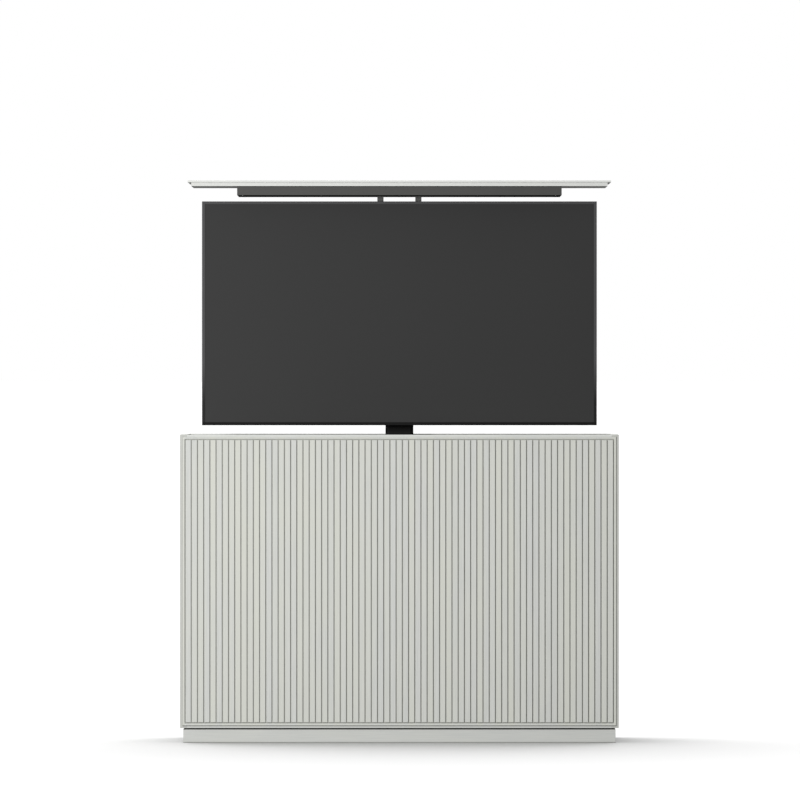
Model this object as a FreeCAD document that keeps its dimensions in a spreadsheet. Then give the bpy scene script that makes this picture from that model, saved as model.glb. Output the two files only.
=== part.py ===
import FreeCAD, Part

import os
import re

import Sketcher
from FreeCAD import Placement, Rotation, Vector

# A low cabinet with a fluted front. A three-stage column lifts a television and the cabinet's lid
# out of its open top. Millimetres; X to the viewer's right, front at -Y, Z up from the floor.
# The model stands with its lift raised.

sizes = {
    # carcase
    "cabinet_width": 1400,
    "cabinet_height": 983,
    "cabinet_depth": 420,
    "side_thickness": 22,
    "bottom_thickness": 22,
    "front_rail_thickness": 24,
    "front_rail_height": 60,
    "rear_rail_thickness": 18,
    "rear_rail_height": 80,
    "fit_clearance": 0.3,
    "edge_round": 0.8,
    # plinth
    "plinth_height": 42,
    "shadow_gap": 5,
    "plinth_inset": 10,
    "plinth_thickness": 18,
    "gap_recess": 12,
    "crossbar_offset": 230,
    # fluted front
    "front_thickness": 19,
    "front_proud": 4,
    "front_reveal": 8.3,
    "front_reveal_top": 7,
    "front_reveal_bottom": 6.2,
    "front_foot_gap": 2,
    "slat_count": 69,
    "edge_strip": 6.5,
    "groove_width": 3.2,
    "groove_depth": 5,
    "groove_ease": 0.8,
    # back
    "back_thickness": 8,
    "back_recess": 4,
    "back_seat": 8,
    "access_width": 520,
    "access_height": 330,
    "access_lift": 60,
    "access_lap": 22,
    "cover_sheet": 2,
    "vent_count": 15,
    "vent_pitch": 20,
    "vent_width": 6,
    "vent_length": 60,
    "grommet_bore": 60,
    "grommet_wall": 3,
    "grommet_flange": 5,
    "grommet_inset": 198,
    "grommet_lift": 90,
    # lid and its seat
    "lid_thickness": 18,
    "lid_lip": 6,
    "lid_step": 11,
    "lid_gap": 2,
    "seat_height": 24,
    "seat_gap": 1.5,
    "pad_thickness": 1.5,
    "pad_length": 30,
    "pad_width": 10,
    # lift column
    "stage_travel": 406,
    "stage_length": 558,
    "rear_clearance": 13,
    "inner_width": 70,
    "inner_depth": 46,
    "tube_wall": 3,
    "tube_gap": 7,
    "tube_radius": 10,
    "stage_step": 8,
    "collar_height": 8,
    "collar_lap": 3,
    "glide_height": 60,
    "glide_width": 30,
    "foot_thickness": 8,
    # drive
    "base_width": 260,
    "base_front": 90,
    "base_thickness": 6,
    "gearbox_height": 40,
    "gearbox_front": 48,
    "clamp_sheet": 4,
    "clamp_foot": 40,
    "clamp_depth": 60,
    "clamp_height": 190,
    "base_bolt": 8,
    "base_bolt_inset": 20,
    "base_bolt_grip": 22,
    "bolt_gap": 0.3,
    "gear_cover_height": 8,
    "gear_cover_reveal": 1,
    "motor_cap_height": 7,
    "motor_cap_step": 3,
    "motor_flange": 6,
    "motor_offset": 86,
    "motor_diameter": 56,
    "motor_length": 118,
    "lower_spindle": 14,
    "upper_spindle": 24,
    "spindle_bore_gap": 0.5,
    "thread_gap": 0.05,
    "spindle_length": 516,
    "nut_wall": 7,
    "nut_height": 20,
    "control_width": 150,
    "control_depth": 62,
    "control_height": 38,
    "control_offset": 190,
    "control_ear": 14,
    # head bracket and television mount
    "bracket_plate": 6,
    "bracket_gap": 3,
    "leg_drop": 45,
    "cheek_gap": 20,
    "cheek_height": 74,
    "mount_width": 520,
    "mount_height": 200,
    "mount_sheet": 4,
    "mount_fold": 12,
    "slot_height": 9,
    "slot_length": 150,
    "slot_rise": 80,
    "vesa_width": 400,
    "vesa_height": 300,
    "mount_bolt": 8,
    "mount_bolt_spacing": 90,
    "mount_bolt_drop": 20,
    "mount_bolt_rise": 80,
    "hook_sheet": 3,
    "arm_width": 30,
    "arm_depth": 12,
    "arm_sheet": 2,
    "arm_height": 400,
    # lid carrier
    "post_width": 20,
    "post_spacing": 122,
    "post_wall": 2,
    "post_setback": 20,
    "post_foot_width": 44,
    "post_foot_depth": 34,
    "post_foot_sheet": 3,
    "carrier_width": 1037,
    "carrier_depth": 340,
    "carrier_height": 27,
    "carrier_sheet": 1.5,
    "carrier_pad": 2,
    "carrier_pad_width": 30,
    "carrier_pad_inset": 30,
    # television
    "tv_width": 1266,
    "tv_height": 718,
    "tv_top_gap": 18,
    "bezel_depth": 12,
    "bezel_top": 8.3,
    "bezel_side": 9.3,
    "bezel_bottom": 7.6,
    "bezel_lip": 1.5,
    "screen_lap": 3,
    "screen_thickness": 3,
    "shell_depth": 12,
    "shell_inset": 1,
    "housing_width": 860,
    "housing_height": 560,
    "housing_depth": 30,
    "housing_lift": 24,
    "housing_slope": 18,
    "tv_wall": 2.5,
    "tv_vent_count": 24,
    "tv_vent_pitch": 16,
    "tv_vent_width": 5,
    "tv_vent_length": 34,
    "tv_vent_drop": 46,
    "bezel_ease": 1.2,
    # inner corners
    "angle_leg": 40,
    "angle_sheet": 3,
    "angle_width": 24,
    "angle_offset": 120,
}

# Places worked out from the sizes above.
places = {
    "half_width": "cabinet_width / 2",
    "inner_half": "half_width - side_thickness",
    "back_face": "cabinet_depth / 2",
    "front_face": "-cabinet_depth / 2",
    "carcase_front": "front_face + front_proud",
    "panel_rear": "front_face + front_thickness",
    "floor_bottom": "plinth_height + shadow_gap",
    "floor_top": "floor_bottom + bottom_thickness",
    "front_half": "half_width - front_reveal - fit_clearance",
    "front_bottom": "floor_bottom + front_reveal_bottom + front_foot_gap",
    "front_top": "cabinet_height - front_reveal_top - fit_clearance",
    "slat_pitch": "(2 * front_half - 2 * edge_strip - groove_width) / slat_count",
    "front_rail_rear": "carcase_front + front_rail_thickness",
    "rear_rail_front": "back_face - rear_rail_thickness",
    "rear_rail_bottom": "cabinet_height - rear_rail_height",
    "back_rear": "back_face - back_recess",
    "back_front": "back_rear - back_thickness",
    "grommet_x": "inner_half - grommet_inset",
    "access_bottom": "floor_top + access_lift",
    "access_top": "access_bottom + access_height",
    "lid_bottom": "cabinet_height - lid_thickness",
    "lip_bottom": "cabinet_height - lid_lip",
    "lid_half": "inner_half - lid_gap",
    "lid_front": "front_rail_rear + lid_gap",
    "lid_rear": "rear_rail_front - lid_gap",
    "core_half": "lid_half - lid_step",
    "lift_height": "2 * stage_travel",
    "middle_width": "inner_width + 2 * (tube_gap + tube_wall)",
    "middle_depth": "inner_depth + 2 * (tube_gap + tube_wall)",
    "outer_width": "middle_width + 2 * (tube_gap + tube_wall)",
    "outer_depth": "middle_depth + 2 * (tube_gap + tube_wall)",
    "gear_rear": "motor_offset + motor_diameter / 2 + motor_flange",
    "column_y": "back_front - rear_clearance - gear_rear",
    "base_top": "floor_top + base_thickness",
    "gearbox_top": "base_top + gearbox_height",
    "outer_top": "gearbox_top + stage_length",
    "middle_bottom": "gearbox_top + stage_step",
    "middle_top": "outer_top + collar_height + stage_step",
    "inner_bottom": "middle_bottom + nut_height + stage_step / 2",
    "inner_top": "middle_top + collar_height + stage_step",
    "upper_spindle_foot": "middle_bottom + nut_height + thread_gap",
    "bracket_front": "column_y - outer_depth / 2 - collar_lap - bracket_gap - bracket_plate",
    "bracket_top": "inner_top + bracket_plate",
    "post_y": "bracket_front + post_setback",
    "cheek_inner": "outer_width / 2 + collar_lap + cheek_gap",
    "bracket_half": "cheek_inner + bracket_plate",
    "mount_front": "bracket_front - mount_sheet",
    "tv_rear": "mount_front - arm_depth",
    "carrier_top": "lid_bottom - carrier_pad",
    "carrier_bottom": "carrier_top - carrier_height",
    "tv_top": "carrier_bottom - tv_top_gap",
    "tv_bottom": "tv_top - tv_height",
    "shell_rear": "tv_rear - housing_depth",
    "bezel_rear": "shell_rear - shell_depth",
    "tv_face": "bezel_rear - bezel_depth",
    "vesa_z": "tv_bottom + tv_height / 2",
    "carrier_y": "(lid_front + lid_rear) / 2",
}

doc = FreeCAD.newDocument("LiftCabinet")
sheet = doc.addObject("Spreadsheet::Sheet", "Sizes")
for row, (name, value) in enumerate(sizes.items(), start=1):
    sheet.set(f"A{row}", name)
    sheet.set(f"B{row}", str(value))
    sheet.setAlias(f"B{row}", name)
doc.recompute()

pieces = []


def formula(text):
    """Named sizes and places, written out as an expression on the sheet's cells."""
    def swap(match):
        word = match.group(0)
        if word in places:
            return "(" + formula(places[word]) + ")"
        return "Sizes." + word if word in sizes else word
    return re.sub(r"[a-z_]+", swap, str(text))


def number(text):
    return float(sheet.evalExpression(formula(text)))


def place(thing, at, turn=None):
    if turn:
        thing.Placement = Placement(Vector(), Rotation(*turn))
    for axis, text in zip("xyz", at):
        thing.setExpression(f"Placement.Base.{axis}", formula(text))


def new_body(label, at):
    body = doc.addObject("PartDesign::Body", label)
    body.Label = label
    place(body, at)
    pieces.append(body)
    return body


def new_sketch(body, name, plane, offset=0):
    sketch = body.newObject("Sketcher::SketchObject", name)
    support = next(part for part in body.Origin.OriginFeatures if part.Role == plane)
    sketch.AttachmentSupport = [(support, "")]
    sketch.MapMode = "FlatFace"
    sketch.setExpression("AttachmentOffset.Base.z", formula(offset))
    return sketch


def bind_all(sketch, kinds_and_texts, first):
    for index, text in enumerate(kinds_and_texts, start=first):
        sketch.setExpression(f"Constraints[{index}]", formula(text))


def polygon(sketch, points):
    """A closed outline; every corner's coordinates are bound to the sheet."""
    corners = [Vector(number(x), number(y), 0) for x, y in points]
    first = sketch.GeometryCount
    count = len(corners)
    sides = [Part.LineSegment(corners[i], corners[(i + 1) % count]) for i in range(count)]
    sketch.addGeometry(sides, False)
    joins = [Sketcher.Constraint("Coincident", first + i, 2, first + (i + 1) % count, 1)
             for i in range(count)]
    sketch.addConstraint(joins)
    held, texts = [], []
    for i, (x, y) in enumerate(points):
        held.append(Sketcher.Constraint("DistanceX", first + i, 1, corners[i].x))
        held.append(Sketcher.Constraint("DistanceY", first + i, 1, corners[i].y))
        texts += [x, y]
    start = sketch.ConstraintCount
    sketch.addConstraint(held)
    bind_all(sketch, texts, start)


def rectangle(sketch, x0, x1, y0, y1):
    polygon(sketch, [(x0, y0), (x1, y0), (x1, y1), (x0, y1)])


def circle(sketch, x, y, diameter):
    geometry = sketch.addGeometry(
        Part.Circle(Vector(number(x), number(y), 0), Vector(0, 0, 1), number(diameter) / 2), False)
    start = sketch.ConstraintCount
    sketch.addConstraint([
        Sketcher.Constraint("DistanceX", geometry, 3, number(x)),
        Sketcher.Constraint("DistanceY", geometry, 3, number(y)),
        Sketcher.Constraint("Diameter", geometry, number(diameter))])
    bind_all(sketch, [x, y, diameter], start)


def pad(body, sketch, length, reverse=False, middle=False):
    feature = body.newObject("PartDesign::Pad", sketch.Name + "_pad")
    feature.Profile = sketch
    feature.Midplane = middle
    feature.Reversed = reverse
    feature.setExpression("Length", formula(length))
    return feature


def pocket(body, sketch, depth=None, reverse=False):
    """A cut from the sketch; without a depth it goes right through both ways."""
    feature = body.newObject("PartDesign::Pocket", sketch.Name + "_cut")
    feature.Profile = sketch
    feature.Reversed = reverse
    if depth is None:
        feature.Type = "ThroughAll"
        feature.Midplane = True
    else:
        feature.setExpression("Length", formula(depth))
    return feature


def repeat(body, feature, role, count, pitch):
    """A row of copies along one of the body's own axes."""
    row = body.newObject("PartDesign::LinearPattern", feature.Name + "_row")
    row.Originals = [feature]
    axis = next(part for part in body.Origin.OriginFeatures if part.Role == role)
    row.Direction = (axis, [""])
    row.Mode = "Spacing"
    row.setExpression("Offset", formula(pitch))
    row.setExpression("Occurrences", formula(count))
    body.Tip = row
    return row


def round_edges(body, base, chosen, size, kind="Fillet"):
    """Rounds or chamfers the base feature's edges that pass the test 'chosen'."""
    doc.recompute()
    names = [f"Edge{i}" for i, edge in enumerate(base.Shape.Edges, start=1) if chosen(edge)]
    feature = body.newObject(f"PartDesign::{kind}", base.Name + "_eased")
    feature.Base = (base, names)
    feature.setExpression("Radius" if kind == "Fillet" else "Size", formula(size))
    return feature


def hollow(body, base, wall):
    """Empties the base feature through its face at the body's own XZ plane."""
    doc.recompute()
    open_face = next(f"Face{i}" for i, face in enumerate(base.Shape.Faces, start=1)
                     if face.BoundBox.YMax < 1e-6)
    feature = body.newObject("PartDesign::Thickness", base.Name + "_hollow")
    feature.Base = (base, [open_face])
    feature.Reversed = True
    feature.setExpression("Value", formula(wall))
    return feature


def is_upright(edge):
    first, last = edge.Vertexes[0].Point, edge.Vertexes[-1].Point
    same_plan = abs(first.x - last.x) + abs(first.y - last.y) < 1e-6
    return same_plan and abs(first.z - last.z) > 1e-6


def board(label, x, y, z):
    """A rectangular board between two corners; its datum is the middle of its underside."""
    middle = [f"(({low}) + ({high})) / 2" for low, high in (x, y)]
    body = new_body(label, (middle[0], middle[1], z[0]))
    outline = new_sketch(body, "outline", "XY_Plane")
    half_x, half_y = (f"(({high}) - ({low})) / 2" for low, high in (x, y))
    rectangle(outline, f"-({half_x})", half_x, f"-({half_y})", half_y)
    pad(body, outline, f"({z[1]}) - ({z[0]})")
    return body


def group(label, members):
    """Identical small pieces kept as one node of separate solids."""
    compound = doc.addObject("Part::Compound", label)
    compound.Label = label
    compound.Links = members
    pieces.append(compound)
    return compound


def primitive(kind, at, turn=None, **bound):
    thing = doc.addObject(f"Part::{kind}", kind.lower())
    place(thing, at, turn)
    for name, text in bound.items():
        thing.setExpression(name, formula(text))
    return thing


turns = {(0, 0, 1): None, (0, -1, 0): (Vector(1, 0, 0), 90)}


def hex_bolt(at, outward, diameter, grip):
    """A bolt whose head stands outward from 'at' and whose shank goes the other way."""
    turn = turns[outward]
    head = primitive("Prism", at, turn, Circumradius=diameter, Height=f"0.6 * {diameter}")
    head.Polygon = 6
    start = [f"({value}) - ({way}) * ({grip})" for value, way in zip(at, outward)]
    shank = primitive("Cylinder", start, turn, Radius=f"{diameter} / 2", Height=grip)
    bolt = doc.addObject("Part::Fuse", "bolt")
    bolt.Base, bolt.Tool = head, shank
    return bolt


def drill(body, plane, offset, centres, diameter):
    """Round holes right through the body."""
    holes = new_sketch(body, "holes", plane, offset)
    for x, y in centres:
        circle(holes, x, y, diameter)
    pocket(body, holes)


def corner_signs():
    return [(side, end) for side in (-1, 1) for end in (-1, 1)]


# ---------------------------------------------------------------- carcase

def side_panel(label, side):
    """Upright board, rebated in front for the fluted panel and behind for the back panel."""
    height = "cabinet_height - floor_bottom"
    body = new_body(label, (f"{side} * inner_half", 0, "floor_bottom"))
    plan = new_sketch(body, "plan", "XY_Plane")
    edges = (0, f"{side} * side_thickness")
    rectangle(plan, *edges, "carcase_front", "back_face")
    block = pad(body, plan, height)
    outer, top = number("side_thickness"), number(height)

    def outer_edge(edge):
        ends = [vertex.Point for vertex in edge.Vertexes]
        on_side = all(abs(abs(p.x) - outer) < 1e-6 for p in ends)
        return on_side and (is_upright(edge) or all(abs(p.z - top) < 1e-6 for p in ends))
    round_edges(body, block, outer_edge, "edge_round")
    front = new_sketch(body, "front_rebate", "XY_Plane", "front_reveal_bottom")
    rectangle(front, 0, f"{side} * (side_thickness - front_reveal)", "carcase_front", "panel_rear")
    pocket(body, front, f"{height} - front_reveal_bottom - front_reveal_top", reverse=True)
    rear = new_sketch(body, "rear_rebate", "XY_Plane")
    rectangle(rear, 0, f"{side} * (back_seat + fit_clearance)", "back_front", "back_face")
    pocket(body, rear, "rear_rail_bottom - floor_bottom", reverse=True)


def bottom_panel():
    """Floor board between the sides, stepped in front for the fluted panel's lower edge."""
    body = new_body("bottom_panel", (0, 0, "floor_bottom"))
    section = new_sketch(body, "section", "YZ_Plane")
    polygon(section, [("carcase_front", 0), ("back_front", 0), ("back_front", "bottom_thickness"),
                      ("panel_rear", "bottom_thickness"), ("panel_rear", "front_reveal_bottom"),
                      ("carcase_front", "front_reveal_bottom")])
    pad(body, section, "2 * inner_half", middle=True)


def front_top_rail():
    """Rail across the top of the front, stepped for the fluted panel's upper edge."""
    body = new_body("front_top_rail", (0, 0, "cabinet_height"))
    section = new_sketch(body, "section", "YZ_Plane")
    polygon(section, [("carcase_front", 0), ("front_rail_rear", 0),
                      ("front_rail_rear", "-front_rail_height"), ("panel_rear", "-front_rail_height"),
                      ("panel_rear", "-front_reveal_top"), ("carcase_front", "-front_reveal_top")])
    pad(body, section, "2 * inner_half", middle=True)


def back_panel():
    """Thin back in the sides' rebates, with the access opening and the cable outlet."""
    half = "inner_half + back_seat"
    body = new_body("back_panel", (0, "back_rear", "floor_bottom"))
    outline = new_sketch(body, "outline", "XZ_Plane")
    rectangle(outline, f"-({half})", half, 0, "rear_rail_bottom - floor_bottom")
    pad(body, outline, "back_thickness")
    openings = new_sketch(body, "openings", "XZ_Plane")
    rectangle(openings, "-access_width / 2", "access_width / 2",
              "access_bottom - floor_bottom", "access_top - floor_bottom")
    circle(openings, "grommet_x", "bottom_thickness + grommet_lift", "grommet_bore")
    pocket(body, openings)


def access_cover():
    """Steel cover over the access opening, with a row of upright vent slots."""
    height = "access_height + 2 * access_lap"
    half = "access_width / 2 + access_lap"
    body = new_body("access_cover", (0, "back_rear", "access_bottom - access_lap"))
    outline = new_sketch(body, "outline", "XZ_Plane")
    rectangle(outline, f"-({half})", half, 0, height)
    pad(body, outline, "cover_sheet", reverse=True)
    slot = new_sketch(body, "vent", "XZ_Plane")
    first = "-(vent_count - 1) * vent_pitch / 2"
    middle = f"({height}) * 0.7"
    rectangle(slot, f"{first} - vent_width / 2", f"{first} + vent_width / 2",
              f"{middle} - vent_length / 2", f"{middle} + vent_length / 2")
    repeat(body, pocket(body, slot), "X_Axis", "vent_count", "vent_pitch")


def cable_grommet():
    """Plastic ring in the back panel where the leads come out."""
    body = new_body("cable_grommet",
                    ("grommet_x", "back_rear", "floor_top + grommet_lift"))
    profile = new_sketch(body, "profile", "XY_Plane")
    outer = "grommet_bore / 2 - fit_clearance / 10"
    polygon(profile, [(outer, "-back_thickness"), (outer, 0), (f"{outer} + grommet_flange", 0),
                      (f"{outer} + grommet_flange", "cover_sheet"),
                      (f"{outer} - grommet_wall", "cover_sheet"),
                      (f"{outer} - grommet_wall", "-back_thickness")])
    turned = body.newObject("PartDesign::Revolution", "turned")
    turned.Profile = profile
    turned.ReferenceAxis = (profile, ["V_Axis"])
    turned.Angle = 360


def corner_angles():
    """Steel angles between the cabinet floor and its sides."""
    angles = []
    for side, end in corner_signs():
        level = f"{end} * angle_offset - angle_width / 2"
        x = "-inner_half" if side < 0 else "inner_half - angle_leg"
        block = primitive("Box", (x, level, "floor_top"), Length="angle_leg",
                          Width="angle_width", Height="angle_leg")
        x = "-inner_half + angle_sheet" if side < 0 else "inner_half - angle_leg"
        void = primitive("Box", (x, level, "floor_top + angle_sheet"),
                         Length="angle_leg - angle_sheet", Width="angle_width",
                         Height="angle_leg - angle_sheet")
        angle = doc.addObject("Part::Cut", "angle")
        angle.Base, angle.Tool = block, void
        angles.append(angle)
    group("corner_angles", angles)


# ---------------------------------------------------------------- plinth

def plinth():
    """Recessed base: four boards and two crossbars, with a thin dark spacer above them."""
    out_x, out_y = "half_width - plinth_inset", "back_face - plinth_inset"
    in_x, in_y = f"{out_x} - plinth_thickness", f"{out_y} - plinth_thickness"
    height = (0, "plinth_height")
    board("plinth_front", (f"-({out_x})", out_x), (f"-({out_y})", f"-({in_y})"), height)
    board("plinth_rear", (f"-({out_x})", out_x), (in_y, out_y), height)
    board("plinth_left", (f"-({out_x})", f"-({in_x})"), (f"-({in_y})", in_y), height)
    board("plinth_right", (in_x, out_x), (f"-({in_y})", in_y), height)
    bars = []
    for side in (-1, 1):
        bars.append(primitive(
            "Box", (f"{side} * crossbar_offset - plinth_thickness / 2", f"-({in_y})", 0),
            Length="plinth_thickness", Width=f"2 * ({in_y})", Height="plinth_height"))
    group("plinth_crossbars", bars)
    edge_x, edge_y = f"({out_x} - gap_recess)", f"({out_y} - gap_recess)"
    strips = []
    for side in (-1, 1):
        start = f"-{edge_y}" if side < 0 else f"{edge_y} - plinth_thickness"
        strips.append(primitive("Box", (f"-{edge_x}", start, "plinth_height"),
                                Length=f"2 * {edge_x}", Width="plinth_thickness",
                                Height="shadow_gap"))
        start = f"-{edge_x}" if side < 0 else f"{edge_x} - plinth_thickness"
        strips.append(primitive("Box", (start, f"-{edge_y} + plinth_thickness", "plinth_height"),
                                Length="plinth_thickness",
                                Width=f"2 * ({edge_y} - plinth_thickness)", Height="shadow_gap"))
    group("plinth_spacer", strips)


# ---------------------------------------------------------------- fluted front

def front_panel():
    """One board milled with upright grooves inside a groove that frames them."""
    body = new_body("front_panel", (0, "front_face", "front_bottom"))
    outline = new_sketch(body, "outline", "XZ_Plane")
    height = "front_top - front_bottom"
    rectangle(outline, "-front_half", "front_half", 0, height)
    pad(body, outline, "front_thickness", reverse=True)
    # The cutter's section: a flat bottom, straight walls and eased edges at the face.
    wide, narrow = "groove_width / 2 + groove_ease", "groove_width / 2"
    section = [(f"-({wide})", 0), (wide, 0), (narrow, "groove_ease"), (narrow, "groove_depth"),
               (f"-{narrow}", "groove_depth"), (f"-{narrow}", "groove_ease")]
    centre = "-slat_pitch * slat_count / 2"
    low = "edge_strip + groove_width / 2"
    upright = new_sketch(body, "upright", "XY_Plane", low)
    polygon(upright, [(f"{centre} + ({x})", y) for x, y in section])
    cut = pocket(body, upright, f"{height} - 2 * ({low})", reverse=True)
    repeat(body, cut, "X_Axis", "slat_count + 1", "slat_pitch")
    for name, level in (("lower", low), ("upper", f"{height} - ({low})")):
        across = new_sketch(body, name, "YZ_Plane")
        polygon(across, [(y, f"{level} + ({x})") for x, y in section])
        feature = pocket(body, across, "slat_pitch * slat_count + groove_width")
        feature.Midplane = True


# ---------------------------------------------------------------- lid and its seat

def lid():
    """Board with a thin lip all round that covers the strips it rests on."""
    body = new_body("lid", (0, "carrier_y", "lid_bottom + lift_height"))
    half_y = "(lid_rear - lid_front) / 2"
    core = new_sketch(body, "core", "XY_Plane")
    rectangle(core, "-core_half", "core_half", f"-({half_y} - lid_step)", f"{half_y} - lid_step")
    pad(body, core, "lid_thickness")
    lip = new_sketch(body, "lip", "XY_Plane", "lid_thickness - lid_lip")
    rectangle(lip, "-lid_half", "lid_half", f"-({half_y})", half_y)
    board_block = pad(body, lip, "lid_lip")
    top = number("lid_thickness")

    def top_rim(edge):
        return all(abs(vertex.Point.z - top) < 1e-6 for vertex in edge.Vertexes)
    round_edges(body, board_block, top_rim, "edge_round")


def lid_seats():
    """Strips on the sides, and soft pads on them that take the closed lid."""
    top = "lip_bottom - pad_thickness - fit_clearance"
    edge = "core_half + seat_gap"
    for label, side in (("lid_seat_left", -1), ("lid_seat_right", 1)):
        ends = ("-inner_half", f"-({edge})") if side < 0 else (edge, "inner_half")
        board(label, ends, ("lid_front", "lid_rear"), (f"{top} - seat_height", top))
    pads = []
    for side in (-1, 1):
        for along in ("lid_front + pad_length", "lid_rear - 2 * pad_length"):
            x = f"{side} * (({edge} + inner_half) / 2) - pad_width / 2"
            pads.append(primitive("Box", (x, along, top), Length="pad_width",
                                  Width="pad_length", Height="pad_thickness"))
    group("lid_pads", pads)


# ---------------------------------------------------------------- lift column

def tube(label, width, depth, at, height):
    """Rectangular steel tube with rounded corners, open at both ends."""
    body = new_body(label, at)
    outer = new_sketch(body, "outer", "XY_Plane")
    rectangle(outer, f"-({width}) / 2", f"({width}) / 2", f"-({depth}) / 2", f"({depth}) / 2")
    round_edges(body, pad(body, outer, height), is_upright, "tube_radius")
    bore = new_sketch(body, "bore", "XY_Plane")
    half_x, half_y = f"(({width}) / 2 - tube_wall)", f"(({depth}) / 2 - tube_wall)"
    rectangle(bore, f"-{half_x}", half_x, f"-{half_y}", half_y)
    hollow = pocket(body, bore)
    corner = (number(half_x), number(half_y))

    def inner_corner(edge):
        point = edge.Vertexes[0].Point
        near = abs(abs(point.x) - corner[0]) + abs(abs(point.y) - corner[1]) < 1e-6
        return is_upright(edge) and near
    round_edges(body, hollow, inner_corner, "tube_radius - tube_wall")
    return body


def collar(label, width, depth, bore_width, bore_depth, z):
    """Plastic ring that closes the gap at the top of a tube."""
    body = new_body(label, (0, "column_y", z))
    outer = new_sketch(body, "outer", "XY_Plane")
    half_x, half_y = f"(({width}) / 2 + collar_lap)", f"(({depth}) / 2 + collar_lap)"
    rectangle(outer, f"-{half_x}", half_x, f"-{half_y}", half_y)
    round_edges(body, pad(body, outer, "collar_height"), is_upright, "tube_radius + collar_lap")
    bore = new_sketch(body, "bore", "XY_Plane")
    half_x = f"(({bore_width}) / 2 + 2 * fit_clearance)"
    half_y = f"(({bore_depth}) / 2 + 2 * fit_clearance)"
    rectangle(bore, f"-{half_x}", half_x, f"-{half_y}", half_y)
    hollow = pocket(body, bore)
    corner = (number(half_x), number(half_y))

    def inner_corner(edge):
        point = edge.Vertexes[0].Point
        near = abs(abs(point.x) - corner[0]) + abs(abs(point.y) - corner[1]) < 1e-6
        return is_upright(edge) and near
    round_edges(body, hollow, inner_corner, "tube_radius")


def glides(label, width, depth, z):
    """Four plastic pads on a tube's lower end, which run in the tube around it."""
    thick = "tube_gap - fit_clearance"
    level = f"{z} + stage_step"
    pads = []
    for side in (-1, 1):
        start = f"({width}) / 2" if side > 0 else f"-({width}) / 2 - ({thick})"
        pads.append(primitive("Box", (start, "column_y - glide_width / 2", level),
                              Length=thick, Width="glide_width", Height="glide_height"))
        start = f"({depth}) / 2" if side > 0 else f"-({depth}) / 2 - ({thick})"
        pads.append(primitive("Box", ("-glide_width / 2", f"column_y + {start}", level),
                              Length="glide_width", Width=thick, Height="glide_height"))
    group(label, pads)


def foot(label, width, depth, bore, z):
    """Plate in a tube's lower end with a hexagonal spindle nut welded through it."""
    body = new_body(label, (0, "column_y", z))
    nut = new_sketch(body, "nut", "XY_Plane")
    flat = f"({bore} / 2 + nut_wall)"
    corner, point = f"{flat} / sqrt(3)", f"2 * {flat} / sqrt(3)"
    polygon(nut, [(corner, f"-{flat}"), (point, 0), (corner, flat),
                  (f"-{corner}", flat), (f"-{point}", 0), (f"-{corner}", f"-{flat}")])
    pad(body, nut, "nut_height")
    plate = new_sketch(body, "plate", "XY_Plane")
    half_x, half_y = f"(({width}) / 2 - tube_wall)", f"(({depth}) / 2 - tube_wall)"
    clip = "tube_radius - tube_wall"
    polygon(plate, [(f"-{half_x} + {clip}", f"-{half_y}"), (f"{half_x} - ({clip})", f"-{half_y}"),
                    (half_x, f"-{half_y} + {clip}"), (half_x, f"{half_y} - ({clip})"),
                    (f"{half_x} - ({clip})", half_y), (f"-{half_x} + {clip}", half_y),
                    (f"-{half_x}", f"{half_y} - ({clip})"), (f"-{half_x}", f"-{half_y} + {clip}")])
    pad(body, plate, "foot_thickness")
    hole = new_sketch(body, "hole", "XY_Plane")
    circle(hole, 0, 0, f"{bore} + 2 * thread_gap")
    pocket(body, hole)


def column():
    tube("outer_column", "outer_width", "outer_depth", (0, "column_y", "gearbox_top"),
         "stage_length")
    collar("outer_collar", "outer_width", "outer_depth", "middle_width", "middle_depth",
           "outer_top")
    tube("middle_column", "middle_width", "middle_depth",
         (0, "column_y", "middle_bottom + stage_travel"), "middle_top - middle_bottom")
    collar("middle_collar", "middle_width", "middle_depth", "inner_width", "inner_depth",
           "middle_top + stage_travel")
    glides("middle_glides", "middle_width", "middle_depth", "middle_bottom + stage_travel")
    foot("middle_foot", "middle_width", "middle_depth", "lower_spindle",
         "middle_bottom + stage_travel")
    tube("inner_column", "inner_width", "inner_depth",
         (0, "column_y", "inner_bottom + lift_height"), "inner_top - inner_bottom")
    glides("inner_glides", "inner_width", "inner_depth", "inner_bottom + lift_height")
    foot("inner_foot", "inner_width", "inner_depth", "upper_spindle",
         "inner_bottom + lift_height")


# ---------------------------------------------------------------- drive

def base_plate():
    """Steel plate under the lift, bolted down to the cabinet floor."""
    plate = board("lift_base_plate", ("-base_width / 2", "base_width / 2"),
                  ("column_y - base_front", "column_y + gear_rear"), ("floor_top", "base_top"))
    across = "base_width / 2 - base_bolt_inset"
    along = "(base_front + gear_rear) / 2 - base_bolt_inset"
    spots = [(f"{side} * ({across})", f"{end} * ({along})") for side, end in corner_signs()]
    drill(plate, "XY_Plane", 0, spots, "base_bolt + 2 * bolt_gap")
    middle = "column_y + (gear_rear - base_front) / 2"
    group("base_bolts", [hex_bolt((x, f"{middle} + {y}", "base_top"), (0, 0, 1), "base_bolt",
                                  "base_bolt_grip") for x, y in spots])


def gearbox():
    """Cast housing and its cover, which carry the column and, behind it, the motor."""
    split = "gearbox_height - gear_cover_height"
    for label, level, height, inset in (("gear_housing", "base_top", split, 0),
                                        ("gear_cover", f"base_top + {split}",
                                         "gear_cover_height", "gear_cover_reveal")):
        body = new_body(label, (0, "column_y", level))
        plan = new_sketch(body, "plan", "XY_Plane")
        rectangle(plan, "-outer_width / 2", "outer_width / 2", f"-gearbox_front + {inset}",
                  f"gear_rear - {inset}")
        round_edges(body, pad(body, plan, height), is_upright, "tube_radius")


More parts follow.
